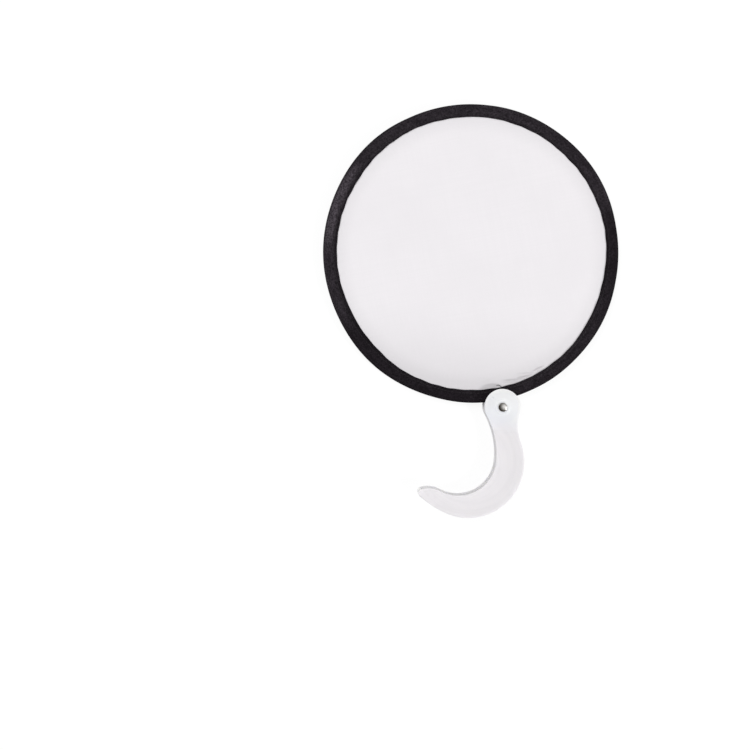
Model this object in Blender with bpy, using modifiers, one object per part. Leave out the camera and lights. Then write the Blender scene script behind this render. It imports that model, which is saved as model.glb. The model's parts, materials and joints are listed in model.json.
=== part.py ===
# Twist-folding hand fan: a fabric disc stretched on a sprung hoop, and a hooked handle that is a thin
# channel. The handle turns on one rivet. The hoop twists into three loops that stow between its plates.
#
# The fan lies on its back. Z = 0 is the back of the handle, +Z is the front of the fan, and -Y runs from the
# hoop's centre to the rivet. The rest pose has the handle turned a little clockwise, seen from the front.
#
# Pieces are modelled about two empties on the rivet's axis, at half the handle's thickness. The hoop's pieces
# follow hoop_pivot and the handle's pieces follow handle_pivot.

import math

import bmesh
import bpy
from mathutils import Matrix, Vector

MM = 0.001

# Hoop, its folded tape and the fabric disc
HOOP_RADIUS = 122.7 * MM  # to the outside of the tape, before the tab pulls it oval
OVAL = 0.5 * MM  # how much longer the radius is along Y, and shorter across
TAPE_WIDTH = 10.8 * MM  # of the folded tape, seen from the front
TAPE_THICKNESS = 0.3 * MM  # of one layer
TAPE_NOSE_ROUND = 0.75 * MM  # at the outside edge
TAPE_SHOULDER_START = 2.3 * MM  # from the outside edge to where the tape leaves the wire
TAPE_SHOULDER_END = 4.2 * MM  # and to where its layers lie flat on the fabric
FABRIC_THICKNESS = 0.2 * MM
FABRIC_GAP = 0.2 * MM
FABRIC_TO_WIRE = 1.6 * MM
WIRE_THICKNESS = 0.6 * MM  # radial: the wire is a flat strip, easy to bend in the plane of the hoop
WIRE_WIDTH = 1.0 * MM  # along Z
WIRE_END_GAP = 1.0 * MM
FERRULE_LENGTH = 16.0 * MM
FERRULE_WALL = 0.2 * MM
FERRULE_GAP = 0.1 * MM  # between the wire and the sleeve
TUNNEL_GAP = 0.15 * MM  # between the sleeve and the tape
TUNNEL_ROUND = 0.3 * MM  # in the tape's fold

# Where the hoop meets the rivet
RIVET_OFFSET = 7.0 * MM  # from the hoop's circle out to the rivet's axis
PULL = 1.3 * MM  # how far the tab draws the hoop towards the rivet, beyond the oval
PULL_HALF_ANGLE = math.radians(46)
TAB_WIDTH = 14.0 * MM
TAB_THICKNESS = 0.6 * MM  # of one arm
TAB_STEM = 1.2 * MM  # both arms together, round the rivet
TAB_LENGTH = 12.6 * MM  # from the rivet's axis to the ends of the arms
TAB_GAP = 0.25 * MM
EYELET_WALL = 0.35 * MM
EYELET_FLANGE = 0.6 * MM  # beyond the barrel
EYELET_GAP = 0.1 * MM  # under each flange
EYELET_HOLE_GAP = 0.2 * MM

# Handle: two shells that make one channel, open along the inside of the hook
HANDLE_ANGLE = math.radians(-12.4)
PLATE = 1.2 * MM
WALL = 1.4 * MM
WALL_TRIM = 0.6 * MM  # how far the wall's ends stop short of the head and of the hook's crest
EDGE_ROUND = 0.7 * MM
PARTING_GAP = 0.3 * MM
LOOPS = 3  # of the stowed hoop
LOOP_PLAY = 0.1 * MM
HEAD_RADIUS = 14.9 * MM
HEAD_RAISE = 0.3 * MM  # the front of the head stands above the grip
HEAD_STEP_DOWN = 19.5 * MM  # from the rivet's axis to the step across the neck
HEAD_STEP_LENGTH = 2.4 * MM
COIL_ROOM = 3.7 * MM  # between the stowed hoop and the channel's wall
COIL_COVER = 10.0 * MM  # how far the plates lie over the stowed hoop
GRIP_SET_DOWN = 7.2 * MM  # from the rivet's axis to the grip's outer circle
GRIP_DIRECTION = math.radians(239.3)  # from the rivet to the grip's centre
GRIP_SIDE_WIDTH = 23.2 * MM
GRIP_BOTTOM_WIDTH = 18.2 * MM
NECK_FILLET_RADIUS = 38.0 * MM  # between head and grip, on the closed side
NECK_RADIUS = 68.0 * MM  # between head and grip, on the open side
HOOK_END_ANGLE = math.radians(245.5)  # where the outer circle gives way to the run to the tip
HOOK_RUN_RADIUS = 87.5 * MM
HOOK_TIP_RADIUS = 3.5 * MM
HOOK_CREST_ANGLE = math.radians(243)  # where the inner circle gives way to the crest of the hook
HOOK_CREST_RADIUS = 20.7 * MM

# Posts that locate one shell on the other, along the closed wall
POST_RADIUS = 1.9 * MM
POST_INSET = 0.9 * MM  # of a post's axis from the inside of the wall
POST_ANGLES = [math.radians(angle) for angle in (-30, -62, -94)]  # round the grip's centre
POST_PIN_RADIUS = 0.9 * MM
POST_PIN_LENGTH = 2.0 * MM
POST_PIN_GAP = 0.25 * MM

# Rivet and its seats in the two shells
RIVET_SHANK_RADIUS = 1.75 * MM
RIVET_HEAD_RADIUS = 3.6 * MM
RIVET_HEAD_HEIGHT = 1.2 * MM
RIVET_ROLL_RADIUS = 2.9 * MM
RIVET_ROLL_HEIGHT = 0.45 * MM
RIVET_BORE_RADIUS = 1.1 * MM
RIVET_BORE_DEPTH = 3.4 * MM
RIVET_GAP = 0.15 * MM
SEAT_GAP = 0.1 * MM
WASHER_RADIUS = 4.5 * MM
WASHER_THICKNESS = 0.45 * MM
SEAT_DISC_RADIUS = 6.6 * MM  # of the low round seat under the rivet's head
SEAT_DISC_HEIGHT = 0.35 * MM
SEAT_DISC_SLOPE = 0.3 * MM  # how far its side leans in
REAR_RECESS_GAP = 1.1 * MM  # round the washer
REAR_RECESS_DEPTH = 1.15 * MM
BOSS_WALL = 1.2 * MM
BOSS_GAP = 0.2 * MM  # between the boss and the eyelet that turns on it
SHOULDER_GAP = 0.25 * MM  # between a shoulder and the eyelet's flange
PAD_RADIUS = 8.2 * MM
PAD_HEIGHT = 1.2 * MM

# Smoothness of the faceted solids
HOOP_FACETS = 108
FERRULE_FACETS = 6
TURNED_FACETS = 32
SMALL_FACETS = 16
DOME_FACETS = 6
SMOOTH_ANGLE = math.radians(35)  # edges sharper than this stay sharp
LARGEST_SAG = 0.04 * MM  # between an arc of the handle's outline and its chords
WELD = 0.001 * MM  # points nearer than this are one
OVERLAP = 0.4 * MM  # how deep one shape reaches into another that it is joined to
CUT_MARGIN = 3.0 * MM  # how far a cutter runs past what it cuts

# What follows from those sizes
ferrule_half_height = WIRE_WIDTH / 2 + FERRULE_GAP + FERRULE_WALL
tunnel_half_height = ferrule_half_height + TUNNEL_GAP
rim_half_thickness = tunnel_half_height + TAPE_THICKNESS
hem_half_gap = FABRIC_THICKNESS / 2 + FABRIC_GAP
hem_half_thickness = hem_half_gap + TAPE_THICKNESS
wire_depth = TAPE_THICKNESS + TUNNEL_ROUND + FERRULE_WALL + FERRULE_GAP + WIRE_THICKNESS / 2
rivet_to_centre = HOOP_RADIUS + RIVET_OFFSET
rivet_to_rim = RIVET_OFFSET - OVAL - PULL

channel_half_depth = (LOOPS * 2 * rim_half_thickness + LOOP_PLAY) / 2
half_thickness = channel_half_depth + PLATE
head_face = half_thickness + HEAD_RAISE
coil_radius = HOOP_RADIUS / LOOPS
grip_outer_radius = coil_radius + COIL_ROOM + WALL
grip_inner_radius = coil_radius - COIL_COVER

rivet_hole_radius = RIVET_SHANK_RADIUS + RIVET_GAP
boss_radius = rivet_hole_radius + BOSS_WALL
eyelet_bore_radius = boss_radius + BOSS_GAP
eyelet_radius = eyelet_bore_radius + EYELET_WALL
eyelet_half_height = TAB_STEM / 2 + EYELET_GAP + EYELET_WALL
flange_radius = eyelet_radius + EYELET_FLANGE
shoulder_half_gap = eyelet_half_height + SHOULDER_GAP
front_seat = head_face + SEAT_DISC_HEIGHT
rear_seat = REAR_RECESS_DEPTH - half_thickness


def clear_scene():
    for thing in list(bpy.data.objects):
        bpy.data.objects.remove(thing, do_unlink=True)


def new_collection(name):
    collection = bpy.data.collections.new(name)
    bpy.context.scene.collection.children.link(collection)
    return collection


def new_material(name, colour, roughness, metallic=0.0, alpha=1.0):
    material = bpy.data.materials.new(name)
    material.use_nodes = True
    shader = material.node_tree.nodes["Principled BSDF"]
    shader.inputs["Base Color"].default_value = (*colour, 1.0)
    shader.inputs["Roughness"].default_value = roughness
    shader.inputs["Metallic"].default_value = metallic
    shader.inputs["Alpha"].default_value = alpha
    material.diffuse_color = (*colour, alpha)
    return material


def new_empty(name, location, angle=0.0):
    empty = bpy.data.objects.new(name, None)
    empty.location = location
    empty.rotation_euler.z = angle
    fan.objects.link(empty)
    return empty


def finish_part(part, parent, material):
    """Hangs a piece on its empty, in its own material, shaded smooth between its sharp edges."""
    part.parent = parent
    part.data.materials.append(material)
    part.data.shade_smooth()
    part.data.set_sharp_from_angle(angle=SMOOTH_ANGLE)


def hide_helper(helper, parent=None):
    helper.hide_render = True
    helper.display_type = "WIRE"
    helper.parent = parent


def poly_curve(name, points, cyclic=True, dimensions="2D", collection=None):
    """A curve of straight segments through 2D or 3D points."""
    data = bpy.data.curves.new(name, "CURVE")
    data.dimensions = dimensions
    spline = data.splines.new("POLY")
    spline.points.add(len(points) - 1)
    for point, place in zip(spline.points, points):
        point.co = (*place, *[0.0] * (3 - len(place)), 1.0)
    spline.use_cyclic_u = cyclic
    curve = bpy.data.objects.new(name, data)
    (collection or fan).objects.link(curve)
    return curve


def plate_curve(name, points, thickness, rounding=0.0, collection=None):
    """An outline made solid, centred on Z = 0, with its edges rounded inside the outline."""
    curve = poly_curve(name, points, collection=collection)
    curve.data.fill_mode = "BOTH"
    curve.data.extrude = thickness / 2 - rounding
    curve.data.bevel_depth = rounding
    curve.data.bevel_resolution = 1
    curve.data.offset = -rounding
    return curve


def to_mesh(source, collection=None):
    """The evaluated mesh of a curve or of an object with modifiers, as a plain welded mesh object."""
    bpy.context.view_layer.update()
    graph = bpy.context.evaluated_depsgraph_get()
    mesh = bpy.data.meshes.new_from_object(source.evaluated_get(graph))
    edit = bmesh.new()
    edit.from_mesh(mesh)
    bmesh.ops.remove_doubles(edit, verts=edit.verts, dist=WELD)
    bmesh.ops.recalc_face_normals(edit, faces=edit.faces)
    edit.to_mesh(mesh)
    edit.free()
    name = source.name
    matrix = source.matrix_world.copy()
    bpy.data.objects.remove(source, do_unlink=True)
    result = bpy.data.objects.new(name, mesh)
    result.matrix_world = matrix
    (collection or fan).objects.link(result)
    return result


def turned(name, profile, closed=False, facets=TURNED_FACETS, collection=None):
    """A profile of (radius, z) points, run down its outer side, turned about Z."""
    mesh = bpy.data.meshes.new(name)
    edges = [(i, i + 1) for i in range(len(profile) - 1)]
    if closed:
        edges.append((len(profile) - 1, 0))
    mesh.from_pydata([(radius, 0.0, z) for radius, z in profile], edges, [])
    part = bpy.data.objects.new(name, mesh)
    (collection or fan).objects.link(part)
    screw = part.modifiers.new("turn", "SCREW")
    screw.steps = facets
    screw.render_steps = facets
    screw.use_merge_vertices = True
    screw.merge_threshold = WELD
    screw.use_smooth_shade = True
    return part


def copies(source, places):
    """One mesh object with a copy of the source at each place, all of them apart."""
    edit = bmesh.new()
    for place in places:
        edit.from_mesh(source.data)
        bmesh.ops.translate(edit, vec=place, verts=edit.verts[-len(source.data.vertices):])
    edit.to_mesh(source.data)
    edit.free()
    return source


def cut(part, name, operation, helper):
    boolean = part.modifiers.new(name, "BOOLEAN")
    boolean.operation = operation
    boolean.object = helper
    boolean.solver = "EXACT"


def polar(centre, radius, angle):
    return centre + radius * Vector((math.cos(angle), math.sin(angle)))


def circle_meeting(centre_a, radius_a, centre_b, radius_b, side):
    """Where two circles cross: side 1 is left of the line from a to b, and side -1 is right of it."""
    line = centre_b - centre_a
    along = (radius_a**2 - radius_b**2 + line.length_squared) / (2 * line.length)
    across = math.sqrt(max(radius_a**2 - along**2, 0.0))
    direction = line.normalized()
    return centre_a + along * direction + side * across * direction.orthogonal()


def handle_arcs():
    """The handle's outline as (centre, radius, is convex, has a wall) arcs, clockwise from the head, each
    tangent to the next. The rivet's axis is at the origin, and the neck points down."""
    rivet = Vector((0.0, 0.0))
    grip = polar(rivet, grip_outer_radius + GRIP_SET_DOWN, GRIP_DIRECTION)
    inner = Vector((
        grip.x + grip_outer_radius - GRIP_SIDE_WIDTH - grip_inner_radius,
        grip.y - grip_outer_radius + GRIP_BOTTOM_WIDTH + grip_inner_radius,
    ))
    fillet = circle_meeting(
        rivet, HEAD_RADIUS + NECK_FILLET_RADIUS, grip, grip_outer_radius + NECK_FILLET_RADIUS, 1
    )
    run = polar(grip, grip_outer_radius - HOOK_RUN_RADIUS, HOOK_END_ANGLE)
    crest = polar(inner, grip_inner_radius + HOOK_CREST_RADIUS, HOOK_CREST_ANGLE)
    tip = circle_meeting(
        run, HOOK_RUN_RADIUS - HOOK_TIP_RADIUS, crest, HOOK_CREST_RADIUS - HOOK_TIP_RADIUS, -1
    )
    neck = circle_meeting(rivet, HEAD_RADIUS + NECK_RADIUS, inner, NECK_RADIUS - grip_inner_radius, -1)
    return [
        (rivet, HEAD_RADIUS, True, False),
        (fillet, NECK_FILLET_RADIUS, False, True),
        (grip, grip_outer_radius, True, True),
        (run, HOOK_RUN_RADIUS, True, True),
        (tip, HOOK_TIP_RADIUS, True, True),
        (crest, HOOK_CREST_RADIUS, True, False),
        (inner, grip_inner_radius, False, False),
        (neck, NECK_RADIUS, False, False),
    ]


def tangent_direction(arc, following):
    """The direction from the arc's centre to where it meets the following arc."""
    centre, radius, convex, _ = arc
    next_centre, next_radius, next_convex, _ = following
    line = next_centre - centre
    if convex == next_convex and next_radius > radius:
        line = -line
    return line.normalized()


def handle_outline(wall_inset=0.0, open_margin=0.0, wall_trim=0.0):
    """Points round the handle. Arcs with a wall move in by wall_inset and lose wall_trim at the wall's two
    ends, and the rest move out by open_margin."""
    arcs = handle_arcs()
    points = []
    for i, (centre, radius, convex, has_wall) in enumerate(arcs):
        before = arcs[i - 1]
        after = arcs[(i + 1) % len(arcs)]
        start = tangent_direction(before, arcs[i])
        if convex != before[2]:
            start = -start
        end = tangent_direction(arcs[i], after)
        first = math.atan2(start.y, start.x)
        sweep = (first - math.atan2(end.y, end.x)) % math.tau
        if not convex:
            sweep -= math.tau
        trim = math.copysign(wall_trim / radius, sweep) * (1 if has_wall else -1)
        if before[3] != has_wall:
            first -= trim
            sweep -= trim
        if after[3] != has_wall:
            sweep -= trim
        outward = -wall_inset if has_wall else open_margin
        moved_radius = radius + outward if convex else radius - outward
        facet = 2 * math.acos(1 - LARGEST_SAG / moved_radius)
        count = math.ceil(abs(sweep) / facet)
        for k in range(count + 1):
            point = polar(centre, moved_radius, first - sweep * k / count)
            if not points or (point - points[-1]).length > LARGEST_SAG:
                points.append(point)
    if (points[-1] - points[0]).length < LARGEST_SAG:
        points.pop()
    return points


def rim_radius(angle, depth=0.0):
    """The hoop's radius at an angle from the rivet's direction, at a depth inside its outer edge."""
    pull = 0.0
    if abs(angle) < PULL_HALF_ANGLE:
        pull = PULL * math.cos(math.pi / 2 * angle / PULL_HALF_ANGLE) ** 2
    return HOOP_RADIUS + OVAL * math.cos(2 * angle) + pull - depth


def hoop_path(depth, start=-math.pi, end=math.pi, facets=HOOP_FACETS, close=True):
    """Points round the hoop at a depth inside its outer edge. The rivet is the origin and +Y is the centre."""
    count = facets if close else facets + 1
    points = []
    for k in range(count):
        angle = start + (end - start) * k / facets
        radius = rim_radius(angle, depth)
        points.append((radius * math.sin(angle), rivet_to_centre - radius * math.cos(angle), 0.0))
    return points


def swept(name, path, profile, cyclic, collection=None):
    """A closed profile of (outward, up) points carried along a path."""
    section = poly_curve(name + "_section", profile, collection=helpers)
    hide_helper(section)
    curve = poly_curve(name, path, cyclic=cyclic, dimensions="3D", collection=collection)
    curve.data.twist_mode = "Z_UP"
    curve.data.bevel_mode = "OBJECT"
    curve.data.bevel_object = section
    curve.data.use_fill_caps = not cyclic
    return curve


def mirrored(points):
    """The points, then the same points below the axis in reverse order."""
    return points + [(x, -y) for x, y in reversed(points)]


def strip_section(thickness, width):
    return mirrored([(-thickness / 2, width / 2), (thickness / 2, width / 2)])


def build_rim_binding():
    """Tape folded round the wire: a round nose, two shoulders, then two layers that hold the fabric."""
    nose = rim_half_thickness
    nose_corner = Vector((-TAPE_NOSE_ROUND, nose - TAPE_NOSE_ROUND))
    outside = [
        (0.0, nose - TAPE_NOSE_ROUND),
        polar(nose_corner, TAPE_NOSE_ROUND, math.pi / 4),
        (-TAPE_NOSE_ROUND, nose),
        (-TAPE_SHOULDER_START, nose),
        (-TAPE_SHOULDER_END, hem_half_thickness),
        (-TAPE_WIDTH, hem_half_thickness),
    ]
    inside = [
        (-TAPE_WIDTH, hem_half_gap),
        (-TAPE_SHOULDER_END, hem_half_gap),
        (-TAPE_SHOULDER_START, tunnel_half_height),
        (-TAPE_THICKNESS - TUNNEL_ROUND, tunnel_half_height),
        (-TAPE_THICKNESS, tunnel_half_height - TUNNEL_ROUND),
    ]
    below = [(x, -y) for x, y in reversed(outside + inside)]
    binding = swept("rim_binding", hoop_path(0.0), outside + inside + below, cyclic=True)
    binding = to_mesh(binding)
    finish_part(binding, hoop_pivot, black_tape)


def build_hoop_wire():
    half_gap_angle = WIRE_END_GAP / 2 / (HOOP_RADIUS - wire_depth)
    path = hoop_path(wire_depth, -math.pi + half_gap_angle, math.pi - half_gap_angle, close=False)
    wire = to_mesh(swept("hoop_wire", path, strip_section(WIRE_THICKNESS, WIRE_WIDTH), cyclic=False))
    finish_part(wire, hoop_pivot, spring_steel)


def build_hoop_ferrule():
    """A sleeve over the wire's two ends, at the side of the hoop away from the rivet."""

    def path(half_angle, facets):
        return hoop_path(wire_depth, math.pi - half_angle, math.pi + half_angle, facets, close=False)

    half_angle = FERRULE_LENGTH / 2 / (HOOP_RADIUS - wire_depth)
    growth = 2 * (FERRULE_GAP + FERRULE_WALL)
    section = strip_section(WIRE_THICKNESS + growth, WIRE_WIDTH + growth)
    ferrule = to_mesh(swept("hoop_ferrule", path(half_angle, FERRULE_FACETS), section, cyclic=False))

    bore_section = strip_section(WIRE_THICKNESS + 2 * FERRULE_GAP, WIRE_WIDTH + 2 * FERRULE_GAP)
    bore_path = path(2 * half_angle, 2 * FERRULE_FACETS)
    bore = to_mesh(swept("ferrule_bore", bore_path, bore_section, False, helpers), helpers)
    hide_helper(bore, hoop_pivot)
    cut(ferrule, "bore", "DIFFERENCE", bore)
    finish_part(ferrule, hoop_pivot, crimped_steel)


def build_membrane():
    edge_depth = wire_depth + WIRE_THICKNESS / 2 + FABRIC_TO_WIRE
    outline = [point[:2] for point in hoop_path(edge_depth)]
    membrane = to_mesh(plate_curve("membrane", outline, FABRIC_THICKNESS))
    finish_part(membrane, hoop_pivot, white_fabric)


def build_pivot_tab():
    """A strap folded round the rivet: one stem at the eyelet, and two arms sewn to the two sides of the rim."""
    stem = TAB_STEM / 2
    fork = rivet_to_rim - TAB_GAP
    rise = rivet_to_rim + TAB_GAP
    over_nose = rim_half_thickness + TAB_GAP
    over_hem = hem_half_thickness + TAB_GAP
    shoulder = rivet_to_rim + TAPE_SHOULDER_START
    flat = rivet_to_rim + TAPE_SHOULDER_END
    outside = [
        (-TAB_WIDTH, stem),
        (fork - TAB_THICKNESS, stem),
        (rise - TAB_THICKNESS, over_nose + TAB_THICKNESS),
        (shoulder, over_nose + TAB_THICKNESS),
        (flat, over_hem + TAB_THICKNESS),
        (TAB_LENGTH, over_hem + TAB_THICKNESS),
    ]
    inside = [
        (TAB_LENGTH, over_hem),
        (flat, over_hem),
        (shoulder, over_nose),
        (rise, over_nose),
        (fork, stem),
    ]
    below = [(y, -z) for y, z in reversed(outside + inside)]
    side_view = plate_curve("pivot_tab", outside + inside + below, TAB_WIDTH + 2 * CUT_MARGIN)
    side_view.matrix_world = Matrix(((0, 0, 1, 0), (1, 0, 0, 0), (0, 1, 0, 0), (0, 0, 0, 1)))
    tab = to_mesh(side_view)

    half_width = TAB_WIDTH / 2
    round_end = [
        (half_width * math.cos(angle), half_width * math.sin(angle))
        for angle in (-math.pi * k / SMALL_FACETS for k in range(SMALL_FACETS + 1))
    ]
    past_arms = TAB_LENGTH + CUT_MARGIN
    front_view = round_end + [(-half_width, past_arms), (half_width, past_arms)]
    cut_height = over_nose + TAB_THICKNESS + CUT_MARGIN
    shape = plate_curve("tab_front_view", front_view, 2 * cut_height, collection=helpers)
    shape = to_mesh(shape, helpers)
    hide_helper(shape, hoop_pivot)
    cut(tab, "front view", "INTERSECT", shape)

    radius = eyelet_radius + EYELET_HOLE_GAP
    hole = [(0, cut_height), (radius, cut_height), (radius, -cut_height), (0, -cut_height)]
    hole = to_mesh(turned("tab_hole", hole, collection=helpers), helpers)
    hide_helper(hole, hoop_pivot)
    cut(tab, "hole", "DIFFERENCE", hole)
    finish_part(tab, hoop_pivot, black_webbing)


def build_tab_eyelet():
    under_flange = eyelet_half_height - EYELET_WALL
    profile = [
        (eyelet_bore_radius, eyelet_half_height),
        (flange_radius, eyelet_half_height),
        (flange_radius, under_flange),
        (eyelet_radius, under_flange),
        (eyelet_radius, -under_flange),
        (flange_radius, -under_flange),
        (flange_radius, -eyelet_half_height),
        (eyelet_bore_radius, -eyelet_half_height),
    ]
    eyelet = turned("tab_eyelet", profile, closed=True)
    finish_part(eyelet, hoop_pivot, nickel)


def build_channel_cutter():
    outline = handle_outline(wall_inset=WALL, open_margin=CUT_MARGIN, wall_trim=WALL_TRIM)
    channel = plate_curve("channel", outline, 2 * channel_half_depth, collection=helpers)
    channel = to_mesh(channel, helpers)
    hide_helper(channel, handle_pivot)
    return channel


def raise_head(mesh):
    """Lifts the front face of the head above the grip, with a sloped step across the neck."""
    edit = bmesh.new()
    edit.from_mesh(mesh)
    top = -HEAD_STEP_DOWN + HEAD_STEP_LENGTH / 2
    bottom = -HEAD_STEP_DOWN - HEAD_STEP_LENGTH / 2
    for level in (top, bottom):
        everything = list(edit.verts) + list(edit.edges) + list(edit.faces)
        bmesh.ops.bisect_plane(edit, geom=everything, plane_co=(0, level, 0), plane_no=(0, 1, 0))
    for vert in edit.verts:
        if vert.co.z > 0 and vert.co.y > top - LARGEST_SAG:
            vert.co.z += HEAD_RAISE
    edit.to_mesh(mesh)
    edit.free()


def post_places():
    """The posts' axes: a row along the grip's wall, one halfway along the run, and one in the tip."""
    grip, run, tip, crest = handle_arcs()[2:6]
    inset = WALL + POST_INSET
    places = [polar(grip[0], grip[1] - inset, angle) for angle in POST_ANGLES]
    for before, arc, after in ((grip, run, tip), (run, tip, crest)):
        middle = tangent_direction(before, arc) + tangent_direction(arc, after)
        places.append(arc[0] + (arc[1] - inset) * middle.normalized())
    return [place.to_3d() for place in places]


def on_side(profile, side):
    """A profile written upwards for the front shell, as one that runs down on either side."""
    if side == 1:
        return profile[::-1]
    return [(radius, -z) for radius, z in profile]


def build_shell(name, side):
    """One half of the handle. Side is 1 for the front and -1 for the rear."""
    shell = to_mesh(plate_curve(name, handle_outline(), 2 * half_thickness, rounding=EDGE_ROUND))
    if side == 1:
        raise_head(shell.data)
    cut(shell, "channel", "DIFFERENCE", channel)

    root = channel_half_depth + OVERLAP
    boss = [
        (0, -OVERLAP),
        (boss_radius, -OVERLAP),
        (boss_radius, shoulder_half_gap),
        (flange_radius, shoulder_half_gap),
        (flange_radius, channel_half_depth - PAD_HEIGHT),
        (PAD_RADIUS, channel_half_depth - PAD_HEIGHT),
        (PAD_RADIUS, root),
        (0, root),
    ]
    post = [(0, -OVERLAP), (POST_RADIUS, -OVERLAP), (POST_RADIUS, root), (0, root)]
    turn_and_cut(shell, "boss", "UNION", on_side(boss, side))
    turn_and_cut(shell, "posts", "UNION", on_side(post, side), post_places(), SMALL_FACETS)

    past_edge = handle_outline(wall_inset=-CUT_MARGIN, open_margin=CUT_MARGIN)
    past_face = half_thickness + CUT_MARGIN
    other_half = plate_curve(name + "_other_half", past_edge, past_face, collection=helpers)
    other_half = to_mesh(other_half, helpers)
    middle = (past_face - PARTING_GAP) / 2
    other_half.data.transform(Matrix.Translation((0, 0, -side * middle)))
    hide_helper(other_half, handle_pivot)
    cut(shell, "parting plane", "DIFFERENCE", other_half)
    return shell


def turn_and_cut(shell, name, operation, profile, places=None, facets=TURNED_FACETS):
    """Joins turned shapes to a shell, or cuts them out of it, about the rivet or at several places."""
    shape = to_mesh(turned(shell.name + "_" + name, profile, facets=facets, collection=helpers), helpers)
    if places:
        copies(shape, places)
    hide_helper(shape, handle_pivot)
    cut(shell, name, operation, shape)


def build_handle_front_shell():
    shell = build_shell("handle_front_shell", 1)
    pin_root = PARTING_GAP / 2 + OVERLAP
    pin = [(POST_PIN_RADIUS, pin_root), (POST_PIN_RADIUS, -POST_PIN_LENGTH)]
    pin = [(0, pin_root)] + pin + [(0, -POST_PIN_LENGTH)]
    turn_and_cut(shell, "post_pins", "UNION", pin, post_places(), SMALL_FACETS)
    turn_and_cut(shell, "seat_disc", "UNION", [
        (0, front_seat),
        (SEAT_DISC_RADIUS - SEAT_DISC_SLOPE, front_seat),
        (SEAT_DISC_RADIUS, head_face),
        (SEAT_DISC_RADIUS, head_face - OVERLAP),
        (0, head_face - OVERLAP),
    ])
    turn_and_cut(shell, "rivet_hole", "DIFFERENCE", [
        (0, front_seat + CUT_MARGIN),
        (rivet_hole_radius, front_seat + CUT_MARGIN),
        (rivet_hole_radius, -CUT_MARGIN),
        (0, -CUT_MARGIN),
    ])
    finish_part(shell, handle_pivot, white_plastic_front)


def build_handle_rear_shell():
    shell = build_shell("handle_rear_shell", -1)
    recess_radius = WASHER_RADIUS + REAR_RECESS_GAP
    turn_and_cut(shell, "rivet_seat", "DIFFERENCE", [
        (0, CUT_MARGIN),
        (rivet_hole_radius, CUT_MARGIN),
        (rivet_hole_radius, rear_seat),
        (recess_radius, rear_seat),
        (recess_radius, -half_thickness - CUT_MARGIN),
        (0, -half_thickness - CUT_MARGIN),
    ])
    socket_radius = POST_PIN_RADIUS + POST_PIN_GAP
    floor = -POST_PIN_LENGTH - POST_PIN_GAP
    socket = [(0, CUT_MARGIN), (socket_radius, CUT_MARGIN), (socket_radius, floor), (0, floor)]
    turn_and_cut(shell, "post_sockets", "DIFFERENCE", socket, post_places(), SMALL_FACETS)
    finish_part(shell, handle_pivot, white_plastic_rear)


def build_pivot_rivet():
    """A domed head at the front, and a hollow end rolled out over the washer at the back."""
    under_head = front_seat + SEAT_GAP
    roll_top = rear_seat - 2 * SEAT_GAP - WASHER_THICKNESS
    roll_bottom = roll_top - RIVET_ROLL_HEIGHT
    dome = [
        (RIVET_HEAD_RADIUS * math.sin(angle), under_head + RIVET_HEAD_HEIGHT * math.cos(angle))
        for angle in (math.pi / 2 * k / DOME_FACETS for k in range(DOME_FACETS + 1))
    ]
    shank = [
        (RIVET_SHANK_RADIUS, under_head),
        (RIVET_SHANK_RADIUS, roll_top),
        (RIVET_ROLL_RADIUS, roll_top),
        (RIVET_ROLL_RADIUS, (roll_top + roll_bottom) / 2),
        ((RIVET_ROLL_RADIUS + RIVET_BORE_RADIUS) / 2, roll_bottom),
        (RIVET_BORE_RADIUS, roll_top),
        (RIVET_BORE_RADIUS, roll_bottom + RIVET_BORE_DEPTH),
        (0, roll_bottom + RIVET_BORE_DEPTH),
    ]
    rivet = turned("pivot_rivet", dome + shank)
    finish_part(rivet, handle_pivot, nickel)


def build_rivet_washer():
    top = rear_seat - SEAT_GAP
    bottom = top - WASHER_THICKNESS
    profile = [
        (rivet_hole_radius, top),
        (WASHER_RADIUS, top),
        (WASHER_RADIUS, bottom),
        (rivet_hole_radius, bottom),
    ]
    washer = turned("rivet_washer", profile, closed=True)
    finish_part(washer, handle_pivot, washer_steel)


clear_scene()
fan = new_collection("folding_fan")
helpers = new_collection("cutters")

white_fabric = new_material("white_fabric", (0.87, 0.86, 0.87), 0.75, alpha=0.85)
black_tape = new_material("black_tape", (0.03, 0.028, 0.031), 0.6)
black_webbing = new_material("black_webbing", (0.02, 0.02, 0.022), 0.75)
spring_steel = new_material("spring_steel", (0.45, 0.45, 0.46), 0.3, metallic=1.0)
crimped_steel = new_material("crimped_steel", (0.6, 0.6, 0.6), 0.4, metallic=1.0)
white_plastic_front = new_material("white_plastic_front", (0.82, 0.81, 0.83), 0.4)
white_plastic_rear = new_material("white_plastic_rear", (0.82, 0.81, 0.83), 0.42)
nickel = new_material("nickel", (0.66, 0.62, 0.56), 0.22, metallic=1.0)
washer_steel = new_material("washer_steel", (0.55, 0.54, 0.52), 0.35, metallic=1.0)

# The origin is below the middle of the whole fan's box, so the ends in Y are worked out first.
grip_centre = handle_arcs()[2][0]
turned_grip = Matrix.Rotation(HANDLE_ANGLE, 2) @ grip_centre
lowest = -rivet_to_centre + turned_grip.y - grip_outer_radius
centre_y = -(lowest + HOOP_RADIUS + OVAL) / 2
pivot = (0.0, centre_y - rivet_to_centre, half_thickness)
hoop_pivot = new_empty("hoop_pivot", pivot)
handle_pivot = new_empty("handle_pivot", pivot, HANDLE_ANGLE)

build_rim_binding()
build_hoop_wire()
build_hoop_ferrule()
build_membrane()
build_pivot_tab()
build_tab_eyelet()
channel = build_channel_cutter()
build_handle_front_shell()
build_handle_rear_shell()
build_pivot_rivet()
build_rivet_washer()
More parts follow.
